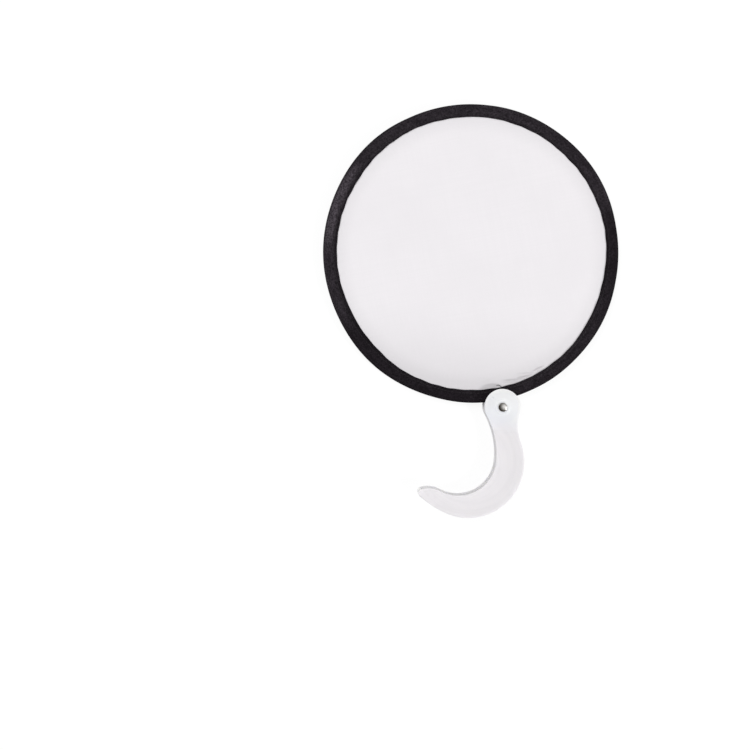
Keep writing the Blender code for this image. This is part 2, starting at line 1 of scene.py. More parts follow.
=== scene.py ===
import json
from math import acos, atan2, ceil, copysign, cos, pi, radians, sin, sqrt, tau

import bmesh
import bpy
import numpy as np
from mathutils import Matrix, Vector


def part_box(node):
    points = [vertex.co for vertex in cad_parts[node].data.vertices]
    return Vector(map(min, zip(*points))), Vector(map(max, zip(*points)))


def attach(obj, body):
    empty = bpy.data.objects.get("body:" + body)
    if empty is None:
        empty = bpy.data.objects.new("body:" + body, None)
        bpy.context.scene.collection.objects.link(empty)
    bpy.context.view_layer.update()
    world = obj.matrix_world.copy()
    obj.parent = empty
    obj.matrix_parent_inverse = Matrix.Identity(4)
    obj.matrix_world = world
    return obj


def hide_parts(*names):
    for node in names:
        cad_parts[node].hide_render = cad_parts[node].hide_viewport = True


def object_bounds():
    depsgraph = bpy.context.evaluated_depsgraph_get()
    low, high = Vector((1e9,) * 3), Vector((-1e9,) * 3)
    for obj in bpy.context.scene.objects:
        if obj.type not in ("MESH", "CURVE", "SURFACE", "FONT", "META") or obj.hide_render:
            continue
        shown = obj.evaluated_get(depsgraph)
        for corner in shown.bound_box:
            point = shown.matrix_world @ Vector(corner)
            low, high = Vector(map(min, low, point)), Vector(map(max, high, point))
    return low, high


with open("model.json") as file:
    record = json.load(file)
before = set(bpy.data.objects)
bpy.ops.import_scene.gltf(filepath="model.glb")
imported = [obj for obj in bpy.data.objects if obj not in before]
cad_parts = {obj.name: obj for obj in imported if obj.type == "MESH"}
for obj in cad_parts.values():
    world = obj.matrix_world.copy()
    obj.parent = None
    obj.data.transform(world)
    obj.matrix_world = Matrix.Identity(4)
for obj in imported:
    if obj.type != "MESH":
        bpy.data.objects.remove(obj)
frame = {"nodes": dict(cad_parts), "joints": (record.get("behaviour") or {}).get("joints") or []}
cad_low, cad_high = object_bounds()

# Looks of the twist-folding hand fan: nylon stretched in a sewn tape rim, and a frosted plastic handle.
#
# The fan lies on its back with +Z to the front. The rivet is on X = 0, and the hoop's centre is beyond it in
# +Y. Angles round the hoop are taken at its centre from the direction of the rivet, positive towards +X, and
# depths go inwards from its outer edge. The handle's own frame has its origin on the rivet's axis at half the
# handle's thickness, with the neck along -Y.

MM = 0.001

OVAL = 0.5 * MM  # how much longer the hoop's radius is along Y, and shorter across

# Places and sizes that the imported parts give
rim_low, rim_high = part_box("rim_binding")
tab_low, tab_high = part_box("pivot_tab")
rear_low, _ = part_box("handle_rear_shell")
_, front_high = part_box("handle_front_shell")
rivet_low, rivet_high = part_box("pivot_rivet")
washer_low, washer_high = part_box("rivet_washer")
disc_low, disc_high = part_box("membrane")

pivot = Vector(frame["joints"][0]["pos_m"])
hoop_radius = (rim_high.x - rim_low.x) / 2 + OVAL
hoop_centre = Vector((0.0, rim_high.y - hoop_radius - OVAL, (rim_low.z + rim_high.z) / 2))
rim_pull = hoop_centre.y - hoop_radius - OVAL - rim_low.y
rim_half_thickness = (rim_high.z - rim_low.z) / 2
half_thickness = pivot.z - rear_low.z
seat_face = front_high.z - pivot.z

# Tape rim
PULL_HALF_ANGLE = radians(46)
TAPE_WIDTH = 10.8 * MM
TAPE_THICKNESS = 0.3 * MM
# Depths in mm that the tape's face has points at, as (first, last, how many)
TAPE_POINTS = [(1.5, 2.0, 2), (2.3, 4.4, 8), (5.2, 6.8, 3), (7.3, 8.9, 7), (9.5, 10.4, 3)]
NOSE_DEPTH = 1.0 * MM
NOSE_POINTS = 7
SHOULDER_START = 2.0 * MM
SHOULDER_END = 4.4 * MM
HEM_HALF_THICKNESS = 0.6 * MM
HEM_HALF_GAP = 0.3 * MM
HEM_EDGE_ROUND = 0.22 * MM
SEAM_DEPTH = 8.1 * MM
SEAM_DIP = 0.13 * MM
SEAM_DIP_WIDTH = 0.5 * MM
HEM_WANDER = 0.16 * MM
WOBBLE_TERMS = 9
# Waves round the hoop as (count, height in mm, phase in degrees): the hem is folded wider in places, and the
# outer edge is pulled out in places
HEM_WAVES = [(1, 0.62, -110), (2, 0.23, -173), (3, 0.16, 130), (5, 0.28, -11), (6, 0.25, -26)]
EDGE_WAVES = [(0, 0.14, 180), (1, 0.20, 180), (3, 0.22, -175), (4, 0.34, -42), (7, 0.28, -166)]
EDGE_MOST_IN = 0.25 * MM
EDGE_STILL_ANGLES = (radians(12), radians(26))  # the edge is even by the rivet
EDGE_DEPTHS = (1.1 * MM, 2.3 * MM)  # where its waves start to fade and end
HEM_RIPPLE = 0.05 * MM
STITCHES = 240
STATIONS_PER_STITCH = 4
STITCH_FILL = 0.8
STITCH_RISE = 0.55  # in thread radii above the tape, and how far its ends dive
STITCH_DIVE = 1.9
THREAD_RADIUS = 0.16 * MM
RIB_PITCH = 0.62 * MM
YARN_PITCH = 0.45 * MM
# Painted light on the tape as (direction, reach to each side, softness, strength), in degrees clockwise from
# +Y: a painted sheen band, painted light over the half away from the rivet, and a little painted light near
# the rivet
PAINTED_SHEEN = (-59, 14, 8, 0.6)
PAINTED_TOP_LIGHT = (-11, 97, 7, 0.2)
PAINTED_SIDE_LIGHT = (148, 28, 14, 0.1)
inner_edge = hoop_radius - TAPE_WIDTH

# Loose end of the seam's thread, about the rivet in mm
LOOSE_THREAD = [
    (4.3, 14.6, 0.75), (3.1, 16.0, 0.78), (2.0, 17.2, 0.62), (0.9, 18.0, 0.34), (-0.2, 18.1, 0.26),
    (-0.5, 17.5, 0.30),
]

# Nylon disc
FABRIC_THICKNESS = 0.12 * MM
FABRIC_RINGS = (14, 54, 4)  # in the middle, by the hem where the folds are, and under the hem
FABRIC_SPOKES = 640
SPOKES_DRAWN_IN = 0.7  # how much closer they stand by the rivet, where the folds are
MIDDLE_SHARE = 0.03  # the first ring's radius, of the whole
FOLDED_BAND = 19.5 * MM
HEM_MOST_OUT = 1.6 * MM
HELD_FROM, FREE_FROM = -0.3 * MM, 1.0 * MM  # from the hem's edge: held inside the tape, free to lift beyond
FABRIC_WEAVE_PITCH = 0.26 * MM
STREAK_STRETCH = (9.0, 700.0)
# Direction towards which painted shade darkens the nylon
SHADED_DIRECTION = radians(266)
PUCKER_HEIGHT = 0.10 * MM
PUCKER_REACH = 9.0 * MM
SLACK_HEIGHT = 0.30 * MM
# Loose folds beside the rivet as (start, end, height, half width), about the rivet in mm
FOLDS = [
    ((4.0, 20.6), (23.0, 17.8), 1.1, 1.1),
    ((15.5, 20.0), (32.0, 20.2), 1.1, 1.0),
    ((17.0, 23.9), (35.0, 20.9), 0.6, 1.5),
    ((30.0, 22.8), (42.0, 26.0), 0.9, 1.0),
    ((-11.0, 23.8), (1.0, 22.6), 0.16, 0.9),
    ((-16.0, 27.0), (-3.0, 22.5), 0.22, 1.8),
]
FOLD_ENDS = 0.12  # how far a fold runs on past its ends, of its length
FOLD_TAPER = 0.35
FOLD_STEEP_SIDE = 0.55  # the folds lean away from the rivet
FOLD_GENTLE_SIDE = 1.15
# Painted shade along each fold's steep side: its offset from the fold and its width
CREASE_SHADE_PLACE = 0.65 * MM
CREASE_SHADE_WIDTH = 0.8 * MM

# Handle
HANDLE_ANGLE = radians(-12.4)
PLATE = 1.2 * MM
WALL = 1.4 * MM
WALL_TRIM = 0.6 * MM
EDGE_ROUND = 0.7 * MM
PARTING_GAP = 0.3 * MM
HEAD_RADIUS = 14.9 * MM
HEAD_STEP_DOWN = 19.5 * MM
HEAD_STEP_LENGTH = 2.4 * MM
HEAD_STEP_CUTS = 7
GRIP_OUTER_RADIUS = 46.0 * MM
GRIP_INNER_RADIUS = 30.9 * MM
GRIP_SET_DOWN = 7.2 * MM
GRIP_DIRECTION = radians(239.3)
GRIP_SIDE_WIDTH = 23.2 * MM
GRIP_BOTTOM_WIDTH = 18.2 * MM
NECK_FILLET_RADIUS = 38.0 * MM
NECK_RADIUS = 68.0 * MM
HOOK_END_ANGLE = radians(245.5)
HOOK_RUN_RADIUS = 87.5 * MM
HOOK_TIP_RADIUS = 3.5 * MM
HOOK_CREST_ANGLE = radians(243)
HOOK_CREST_RADIUS = 20.7 * MM
POST_RADIUS = 1.9 * MM
POST_INSET = 0.9 * MM
POST_ANGLES = [radians(angle) for angle in (-30, -62, -94)]
BOSS_RADIUS = 3.1 * MM
SHOULDER_RADIUS = 4.25 * MM
SHOULDER_HALF_GAP = 1.3 * MM
PAD_RADIUS = 8.2 * MM
PAD_HEIGHT = 1.2 * MM
RIVET_HOLE_RADIUS = 1.9 * MM
SEAT_DISC_RADIUS = 6.6 * MM
SEAT_DISC_HEIGHT = 0.35 * MM
SEAT_DISC_SLOPE = 0.8 * MM
REAR_RECESS_RADIUS = 5.6 * MM
REAR_RECESS_DEPTH = 1.15 * MM
SEAT_ROUND = 0.22 * MM
GATE_MARK_PLACE = Vector((-8.6, 7.7)) * MM
GATE_MARK_RADIUS = 1.2 * MM
GATE_MARK_DEPTH = 0.3 * MM
LIT_DIRECTION = radians(61)
FRONT_LIGHT_DEPTH = 3.0 * MM
REAR_LIGHT_DEPTH = 0.4 * MM
FLOW_TURN = pi / 4  # where the flow lines' angles start, clear of the grip
FLOW_LINE_FINENESS = (320.0, 0.8)  # per metre across the lines, and per radian along them
head_face = seat_face - SEAT_DISC_HEIGHT

# Rivet
SHANK_RADIUS = 1.75 * MM
ROLL_RADIUS = 2.9 * MM
RIVET_BORE_RADIUS = 1.1 * MM
RIVET_BORE_DEPTH = 3.4 * MM
RIVET_HEAD_RIM = 0.28 * MM
RIVET_ROLL_HEIGHT = 0.45 * MM
# Painted reflection on the rivet's head: plate colour near one spot, dark beyond it, and a painted highlight
# at another spot
LIT_REFLECTION_SPOT, LIT_REFLECTION_REACH = Vector((1.2, 0.4, 0.0)) * MM, 4.0 * MM
HIGHLIGHT_SPOT, HIGHLIGHT_REACH = Vector((2.5, -0.6, 0.0)) * MM, 1.6 * MM
SEAT_GAP = 0.1 * MM
WASHER_ROUND = 0.1 * MM

# Strap between the rivet and the rim
STRAP_THICKNESS = 0.6 * MM
STRAP_GAP = 0.25 * MM
STRAP_OUTER_ROUND = 0.35 * MM
STRAP_INNER_ROUND = 0.2 * MM
STRAP_RIB_PITCH = 0.9 * MM
STRAP_YARN_PITCH = 0.7 * MM
STRAP_HOLE_RADIUS = 3.85 * MM

# Smoothness
LARGEST_SAG = 0.006 * MM
OVERLAP = 0.4 * MM
CUT_MARGIN = 3.0 * MM
WELD = 0.0005 * MM
EDGE_STEPS = 4
BEND_STEPS = 4
BEND_MOST = 0.45  # of a side's length
TURNED_FACETS = 96
POST_FACETS = 32
SHARP_ANGLE = radians(38)

# Photograph: the fan's axis stands 11.2 degrees to the left of upright, 750 pixels are 620.8 mm at the
# fabric, and the lens looks straight down at a point left of and above the middle of the picture. The rivet's
# pixel is where its axis crosses the fabric.
PICTURE_ROLL = radians(-11.2)
PICTURE_WIDTH = 620.8 * MM
PICTURE_PIXELS = 750
RIVET_PIXEL = Vector((501.35, 406.4))
CAMERA_HEIGHT = 600.0 * MM
CAMERA_SHIFT = Vector((0.052, -0.075))
SENSOR_WIDTH = 36.0

# Light and floor
WHITE = (1.0, 1.0, 1.0, 1.0)
WORLD_LIGHT = 0.475
KEY_LIGHT = 0.22
KEY_DIRECTION = radians(-43)
KEY_ELEVATION = radians(29.5)
KEY_DISTANCE = 3.0
KEY_SIZE = 0.22
BACK_LIGHT = 0.315
BACK_PLACE = Vector((-1.76, 2.6, 2.46))
BACK_SIZE = 2.2
FLOOR_GAP = 0.3 * MM
FLOOR_SIZE = 12.0
FLOOR_SHADE = 0.7
SEEN_FLOOR_SHADE = 0.14
FLOOR_LIFT = 0.89


def node(tree, kind, inputs=None, **settings):
    """Makes a shader node and returns its outputs. Inputs are plain values, or the sockets that feed them."""
    made = tree.nodes.new("ShaderNode" + kind)
    for key, value in settings.items():
        setattr(made, key, value)
    for key, value in (inputs or {}).items():
        if isinstance(value, bpy.types.NodeSocket):
            tree.links.new(value, made.inputs[key])
        else:
            made.inputs[key].default_value = value
    return made.outputs


def math_node(tree, operation, first, second=0.0, clamp=False):
    return node(tree, "Math", {0: first, 1: second}, operation=operation, use_clamp=clamp)[0]


def times(tree, first, *others):
    for other in others:
        first = math_node(tree, "MULTIPLY", first, other)
    return first


def plus(tree, first, *others):
    for other in others:
        first = math_node(tree, "ADD", first, other)
    return first


def split_axes(tree, place):
    return node(tree, "SeparateXYZ", {0: place})


def joined_axes(tree, x, y):
    return node(tree, "CombineXYZ", {0: x, 1: y})[0]


def vector_node(tree, operation, inputs, output=0):
    return node(tree, "VectorMath", inputs, operation=operation)[output]


def vector_length(tree, vector):
    return vector_node(tree, "LENGTH", {0: vector}, "Value")


def from_axis(tree, place):
    """The distance from the Z axis."""
    return vector_length(tree, vector_node(tree, "MULTIPLY", {0: place, 1: (1.0, 1.0, 0.0)}))


def reach_along(tree, place, angle):
    """How far a place lies along a direction in the XY plane."""
    direction = (cos(angle), sin(angle), 0.0)
    return vector_node(tree, "DOT_PRODUCT", {0: place, 1: direction}, "Value")


def mix(tree, factor, first, second):
    return node(tree, "Mix", {0: factor, 6: first, 7: second}, data_type="RGBA")[2]


def ramp(tree, value, low, high, from_low=0.0, from_high=1.0):
    """The value carried smoothly from one range to another."""
    inputs = {0: value, 1: from_low, 2: from_high, 3: low, 4: high}
    return node(tree, "MapRange", inputs, interpolation_type="SMOOTHSTEP")[0]


def object_place(tree, origin=Vector(), angle=0.0, stretch=(1.0, 1.0, 1.0)):
    """Coordinates fixed to the piece, about an origin and along axes turned by an angle."""
    moved = vector_node(tree, "ADD", {0: node(tree, "TexCoord")["Object"], 1: -origin})
    turn = {"Vector": moved, "Rotation": (0.0, 0.0, -angle), "Scale": stretch}
    return node(tree, "Mapping", turn)[0]


def noise(tree, place, scale, detail=2.0, roughness=0.5):
    inputs = {"Vector": place, "Scale": scale, "Detail": detail, "Roughness": roughness}
    return node(tree, "TexNoise", inputs)["Fac"]


def bands(tree, place, pitch, direction):
    """A sine across one axis, from 0 to 1, that repeats each pitch."""
    inputs = {"Vector": place, "Scale": tau / 20.0 / pitch}
    return node(tree, "TexWave", inputs, wave_type="BANDS", bands_direction=direction)["Fac"]


def new_material(name, **values):
    """A Principled material. Returns it with its tree and its shader."""
    material = bpy.data.materials.new(name)
    material.use_nodes = True
    shader = material.node_tree.nodes["Principled BSDF"]
    for key, value in values.items():
        shader.inputs[key.replace("_", " ")].default_value = value
    return material, material.node_tree, shader


def feed(shader, **sockets):
    """Links sockets to the inputs of these names."""
    for key, socket in sockets.items():
        shader.id_data.links.new(socket, shader.inputs[key.replace("_", " ")])


def add_bump(tree, shader, height, distance, strength):
    inputs = {"Height": height, "Distance": distance, "Strength": strength}
    feed(shader, Normal=node(tree, "Bump", inputs)[0])


def nylon_material():
    """Thin plain weave: a fine grain, faint streaks along both yarns, and painted shade near the rim, towards
    one side and along the creases.
    """
    material, tree, shader = new_material(
        "white_nylon", Roughness=0.62, Alpha=0.94, Sheen_Weight=0.12, Sheen_Roughness=0.45,
        Specular_IOR_Level=0.35,
    )
    place = object_place(tree, hoop_centre, PICTURE_ROLL)
    weave = plus(tree, *(bands(tree, place, FABRIC_WEAVE_PITCH, direction) for direction in "XY"))
    streaks = plus(tree, *(
        noise(tree, object_place(tree, hoop_centre, PICTURE_ROLL, (*stretch, 1.0)), 1.0)
        for stretch in (STREAK_STRETCH, STREAK_STRETCH[::-1])
    ))
    clouds = noise(tree, place, 18.0, 3.0)
    from_centre = vector_length(tree, place)
    # Painted shade: darker near the rim, and more so towards the shaded direction
    near_rim = ramp(tree, from_centre, 0.0, 0.4, inner_edge - 15 * MM, inner_edge + 1.5 * MM)
    along = reach_along(tree, place, SHADED_DIRECTION)
    shaded_side = ramp(tree, along, 0.0, 1.0, 0.35 * inner_edge, 1.3 * inner_edge)
    shade = math_node(tree, "ADD", near_rim, shaded_side, clamp=True)
    # Painted shade along the folds' steep sides, read from the points
    crease_shade = node(tree, "Attribute", attribute_name="crease_shade")["Fac"]
    tint = (0.945, 0.919, 0.945, 1.0)
    for amount, darker in (
        (ramp(tree, streaks, 0.0, 0.6, 0.7, 1.3), (0.918, 0.893, 0.92, 1.0)),
        (ramp(tree, clouds, 0.0, 0.6, 0.35, 0.7), (0.91, 0.885, 0.91, 1.0)),
        (shade, (0.755, 0.733, 0.755, 1.0)),
        (ramp(tree, crease_shade, 0.0, 0.5), (0.50, 0.485, 0.50, 1.0)),
    ):
        tint = mix(tree, amount, tint, darker)
    feed(shader, Base_Color=tint)
    add_bump(tree, shader, weave, 0.02 * MM, 0.25)
    return material


def tape_material():
    """Ribbed black tape: ribs across it, yarns along it, a mottled dye, painted shade at its two edges, and a
    painted sheen band and painted light on two sides of the hoop.
    """
    material, tree, shader = new_material(
        "black_ribbed_tape", Sheen_Weight=0.03, Sheen_Roughness=0.4, Sheen_Tint=(0.9, 0.78, 0.9, 1.0),
        Specular_IOR_Level=0.06, Specular_Tint=(1.0, 0.84, 1.0, 1.0),
    )
    place = object_place(tree, hoop_centre)
    axes = split_axes(tree, place)
    turn = math_node(tree, "ARCTAN2", axes["X"], axes["Y"])
    radius = from_axis(tree, place)
    unrolled = joined_axes(tree, times(tree, turn, hoop_radius), radius)
    ribs = bands(tree, unrolled, RIB_PITCH, "X")
    yarns = bands(tree, unrolled, YARN_PITCH, "Y")
    weave = plus(tree, times(tree, ribs, 0.65), times(tree, yarns, 0.35))

    def facing(direction, reach, softness, strength):
        """The strength on the side of the hoop that lies in a direction, and 0 on the other."""
        away = math_node(tree, "COSINE", math_node(tree, "SUBTRACT", turn, radians(direction)))
        ends = [cos(radians(reach + soft)) for soft in (softness, -softness)]
        return ramp(tree, away, 0.0, strength, *ends)

    mottle = noise(tree, place, 900.0, 3.0, 0.7)
    lengthwise = node(tree, "Mapping", {"Vector": unrolled, "Scale": (1.0, 3.0, 1.0)})[0]
    blotches = noise(tree, lengthwise, 90.0, 2.0, 0.6)
    patches = noise(tree, place, 28.0, 2.0)
    # Painted sheen: a lighter band along the middle of the bead
    sheen_band = times(
        tree,
        ramp(tree, radius, 0.0, 1.0, inner_edge + 0.5 * MM, inner_edge + 6.0 * MM),
        ramp(tree, radius, 1.0, 0.0, hoop_radius - 3.0 * MM, hoop_radius - 0.6 * MM),
    )
    # Painted light: lighter in patches over the half away from the rivet, plus the painted sheen band and a
    # little painted light near the rivet
    top_light = times(tree, facing(*PAINTED_TOP_LIGHT), ramp(tree, patches, 0.8, 1.2, 0.35, 0.65))
    painted_light = plus(tree, top_light, times(tree, facing(*PAINTED_SHEEN), sheen_band), facing(*PAINTED_SIDE_LIGHT))
    # The dye, lifted towards a lighter tint where light is painted
    dye_and_painted_light = mix(tree, painted_light, (0.0088, 0.0071, 0.0088, 1.0), (0.058, 0.05, 0.0585, 1.0))
    # Mottle and blotches of the dye, with painted shade at the hem's inner edge and at the outer nose
    grain_and_edge_shade = times(
        tree,
        ramp(tree, mottle, 0.25, 1.9, 0.3, 0.7),
        ramp(tree, blotches, 0.8, 1.25, 0.3, 0.7),
        ramp(tree, radius, 0.5, 1.0, inner_edge, inner_edge + 2.6 * MM),
        ramp(tree, radius, 1.0, 0.7, hoop_radius - 1.8 * MM, hoop_radius),
    )
    tint = vector_node(tree, "SCALE", {0: dye_and_painted_light, "Scale": grain_and_edge_shade})
    feed(shader, Base_Color=tint, Roughness=ramp(tree, mottle, 0.5, 0.7))
    add_bump(tree, shader, weave, 0.07 * MM, 0.7)
    return material


def webbing_material():
    """Coarser black strap weave."""
    material, tree, shader = new_material("black_strap", Roughness=0.7, Sheen_Weight=0.2)
    place = object_place(tree, pivot)
    weave = times(tree, bands(tree, place, STRAP_RIB_PITCH, "X"), bands(tree, place, STRAP_YARN_PITCH, "Y"))
    tint = mix(tree, weave, (0.008, 0.008, 0.009, 1.0), (0.028, 0.027, 0.03, 1.0))
    feed(shader, Base_Color=tint)
    add_bump(tree, shader, weave, 0.12 * MM, 0.8)
    return material


def thread_material():
    """Twisted polyester thread with a slight shine."""
    material, tree, shader = new_material("black_thread", Roughness=0.5, Specular_IOR_Level=0.3)
    twist = noise(tree, object_place(tree), 5000.0, 1.0)
    tint = mix(tree, twist, (0.004, 0.0035, 0.004, 1.0), (0.018, 0.016, 0.018, 1.0))
    feed(shader, Base_Color=tint)
    return material


def flow_lines(tree):
    """Streaks round the grip and along the hook, as the plastic flowed into the mould."""
    grip = handle_arcs()[2][0].to_3d()
    grip.rotate(Matrix.Rotation(HANDLE_ANGLE, 3, "Z"))
    place = object_place(tree, pivot + grip, HANDLE_ANGLE - FLOW_TURN)
    axes = split_axes(tree, place)
    turn = math_node(tree, "ARCTAN2", axes["Y"], axes["X"])
    across, along = FLOW_LINE_FINENESS
    lines = joined_axes(tree, times(tree, from_axis(tree, place), across), times(tree, turn, along))
    return noise(tree, lines, 1.0, 2.0)


def plastic_material(name, depth):
    """Frosted translucent moulding: a fine etched grain, cooler at the thicker head, and light to a depth."""
    material, tree, shader = new_material(
        name, Subsurface_Weight=0.7, Subsurface_Radius=(1.0, 1.0, 1.05), Subsurface_Scale=depth,
        Specular_IOR_Level=0.42,
    )
    place = object_place(tree, pivot, HANDLE_ANGLE)
    axes = split_axes(tree, place)
    step = -HEAD_STEP_DOWN
    head = ramp(tree, axes["Y"], 0.0, 1.0, step - 5.0 * MM, step + 13.0 * MM)
    # Painted light: the head's tint grows lighter towards its lit side
    to_lit_side = ramp(tree, reach_along(tree, place, LIT_DIRECTION), 0.0, 1.0, -HEAD_RADIUS, HEAD_RADIUS)
    head_tint_and_light = mix(tree, to_lit_side, (0.855, 0.87, 0.95, 1.0), (0.935, 0.948, 1.0, 1.0))
    # Painted highlight along the head's rounded edge on its lit side
    edge = ramp(tree, from_axis(tree, place), 0.0, 1.0, HEAD_RADIUS - 3.0 * MM, HEAD_RADIUS - 0.5 * MM)
    head_tint_and_light = mix(tree, times(tree, edge, to_lit_side), head_tint_and_light, (0.985, 0.985, 1.0, 1.0))
    # Painted light: the faces inside the channel are tinted lighter, for light that comes through the plates
    off_middle = math_node(tree, "ABSOLUTE", axes["Z"])
    inside = ramp(tree, off_middle, 1.0, 0.0, half_thickness - PLATE, half_thickness - 0.5 * PLATE)
    below_head = math_node(tree, "SUBTRACT", 1.0, head)
    flow = times(tree, ramp(tree, flow_lines(tree), 0.0, 0.16, 0.35, 0.7), below_head)
    tint = mix(tree, head, (0.886, 0.853, 0.89, 1.0), head_tint_and_light)
    tint = mix(tree, inside, tint, (0.975, 0.96, 0.975, 1.0))
    tint = mix(tree, flow, tint, (0.70, 0.68, 0.71, 1.0))
    haze = noise(tree, place, 90.0, 3.0)
    feed(shader, Base_Color=tint, Roughness=ramp(tree, haze, 0.38, 0.52, 0.3, 0.7))
    add_bump(tree, shader, noise(tree, place, 2600.0, 2.0, 0.6), 0.012 * MM, 0.5)
    return material


def nickel_material():
    """Bright plate with fine scratches, a painted dark reflection round the head, most of it on the left, and
    a painted highlight right of the middle.
    """
    material, tree, shader = new_material("nickel_plate", Metallic=1.0)

    def near(spot, reach):
        """1 at a spot on the head, falling smoothly to 0 at its reach."""
        return ramp(tree, from_axis(tree, object_place(tree, pivot + spot)), 1.0, 0.0, 0.0, reach)

    # Painted dark reflection away from one spot, and a painted highlight near another
    lit_reflection, highlight = near(LIT_REFLECTION_SPOT, LIT_REFLECTION_REACH), near(HIGHLIGHT_SPOT, HIGHLIGHT_REACH)
    tint = mix(tree, lit_reflection, (0.04, 0.035, 0.03, 1.0), (0.66, 0.645, 0.625, 1.0))
    tint = mix(tree, highlight, tint, (0.98, 0.96, 0.92, 1.0))
    scratches = noise(tree, object_place(tree, pivot, 0.6, (300.0, 4000.0, 1000.0)), 1.0, 3.0)
    feed(shader, Base_Color=tint, Roughness=ramp(tree, scratches, 0.24, 0.4, 0.3, 0.7))
    return material


def steel_material(name, tint, roughness):
    """Drawn or stamped steel with fine lines."""
    material, tree, shader = new_material(name, Metallic=1.0)
    lines = noise(tree, object_place(tree, pivot, 0.3, (200.0, 3500.0, 3500.0)), 1.0, 3.0)
    darker = tuple(0.7 * channel for channel in tint)
    lined = mix(tree, lines, (*tint, 1.0), (*darker, 1.0))
    rougher = ramp(tree, lines, roughness - 0.06, roughness + 0.1, 0.3, 0.7)
    feed(shader, Base_Color=lined, Roughness=rougher)
    return material


def new_object(name, data):
    made = bpy.data.objects.new(name, data)
    bpy.context.scene.collection.objects.link(made)
    return made


def mesh_piece(name, points, faces):
    mesh = bpy.data.meshes.new(name)
    mesh.from_pydata([*map(tuple, points)], [], [*map(tuple, faces)])
    return new_object(name, mesh)


def dress(piece, body, material, nodes=()):
    """Finishes a piece: its shading and material, the body that carries it and the nodes it stands for."""
    piece.data.materials.clear()
    piece.data.materials.append(material)
    piece.data.shade_smooth()
    piece.data.set_sharp_from_angle(angle=SHARP_ANGLE)
    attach(piece, body)
    if nodes:
        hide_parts(*nodes)
    return piece


def grid_faces(rows, columns, close_rows=True):
    """Quads over points kept row by row. Each row is closed on itself, and the last may meet the first."""
    row, column = np.meshgrid(np.arange(rows if close_rows else rows - 1), np.arange(columns), indexing="ij")
    here, beyond = row * columns, (row + 1) % rows * columns
    following = (column + 1) % columns
    corners = [here + column, here + following, beyond + following, beyond + column]
    return np.stack(corners, axis=-1).reshape(-1, 4)


def rim_radius(angle):
    """The hoop's outer radius: slightly oval, and drawn out towards the rivet."""
    pull = rim_pull * np.cos(pi / 2 * angle / PULL_HALF_ANGLE) ** 2
    return hoop_radius + OVAL * np.cos(2 * angle) + np.where(np.abs(angle) < PULL_HALF_ANGLE, pull, 0.0)


def on_hoop(angle, depth, height):
    """Places in the row frame, from angles, depths inside the outer edge and heights above mid-plane."""
    radius = rim_radius(angle) - depth
    x = hoop_centre.x + radius * np.sin(angle)
    y = hoop_centre.y - radius * np.cos(angle)
    z = hoop_centre.z + height + np.zeros_like(radius)
    return np.stack([x, y, z], axis=-1)


def wobble(angle, fewest, most, seed):
    """A smooth random line that closes round the hoop, mostly between -1 and 1."""
    chance = np.random.default_rng(seed)
    counts = chance.integers(fewest, most, WOBBLE_TERMS)
    phases = chance.uniform(0.0, tau, WOBBLE_TERMS)
    total = sum(np.cos(angle * count + phase) for count, phase in zip(counts, phases))
    return total / sqrt(WOBBLE_TERMS)


def waves(angle, rows):
    """The sum of waves that are given in mm and degrees."""
    return MM * sum(height * np.cos(count * angle - radians(phase)) for count, height, phase in rows)


def smooth_step(value, low, high):
    share = np.clip((value - low) / (high - low), 0.0, 1.0)
    return share * share * (3.0 - 2.0 * share)


def hem_surface(depth):
    """Height of the tape's outer face above mid-plane, inside the nose."""
    shoulder = (rim_half_thickness - HEM_HALF_THICKNESS) * smooth_step(depth, SHOULDER_START, SHOULDER_END)
    edge = HEM_EDGE_ROUND * smooth_step(depth, TAPE_WIDTH - HEM_EDGE_ROUND, TAPE_WIDTH) ** 2
    return rim_half_thickness - shoulder - edge


def in_hem(depth):
    """0 before the hem, rising to 1 at its inner edge."""
    return smooth_step(depth, SHOULDER_END, TAPE_WIDTH)


def hem_wander(angle):
    """How far the hem's inner edge strays: it is folded wider in places, and is never quite even."""
    return waves(angle, HEM_WAVES) + HEM_WANDER * wobble(angle, 5, 60, seed=3)


def hem_ripple(angle, depth):
    """How far the hem lies above or below mid-plane."""
    return HEM_RIPPLE * wobble(angle, 30, 110, seed=4) * in_hem(depth)


def edge_wander(angle, depth):
    """How far the outer edge strays inwards, which ends at the flat of the bead."""
    strayed = np.minimum(waves(angle, EDGE_WAVES), EDGE_MOST_IN)
    return strayed * smooth_step(np.abs(angle), *EDGE_STILL_ANGLES) * (1.0 - smooth_step(depth, *EDGE_DEPTHS))


def seam_dip(angle, depth):
    """How far the stitches draw the tape in, most where the thread goes through."""
    across = np.exp(-(((depth - SEAM_DEPTH) / SEAM_DIP_WIDTH) ** 2))
    return SEAM_DIP * across * (0.7 + 0.3 * np.cos(angle * STITCHES))


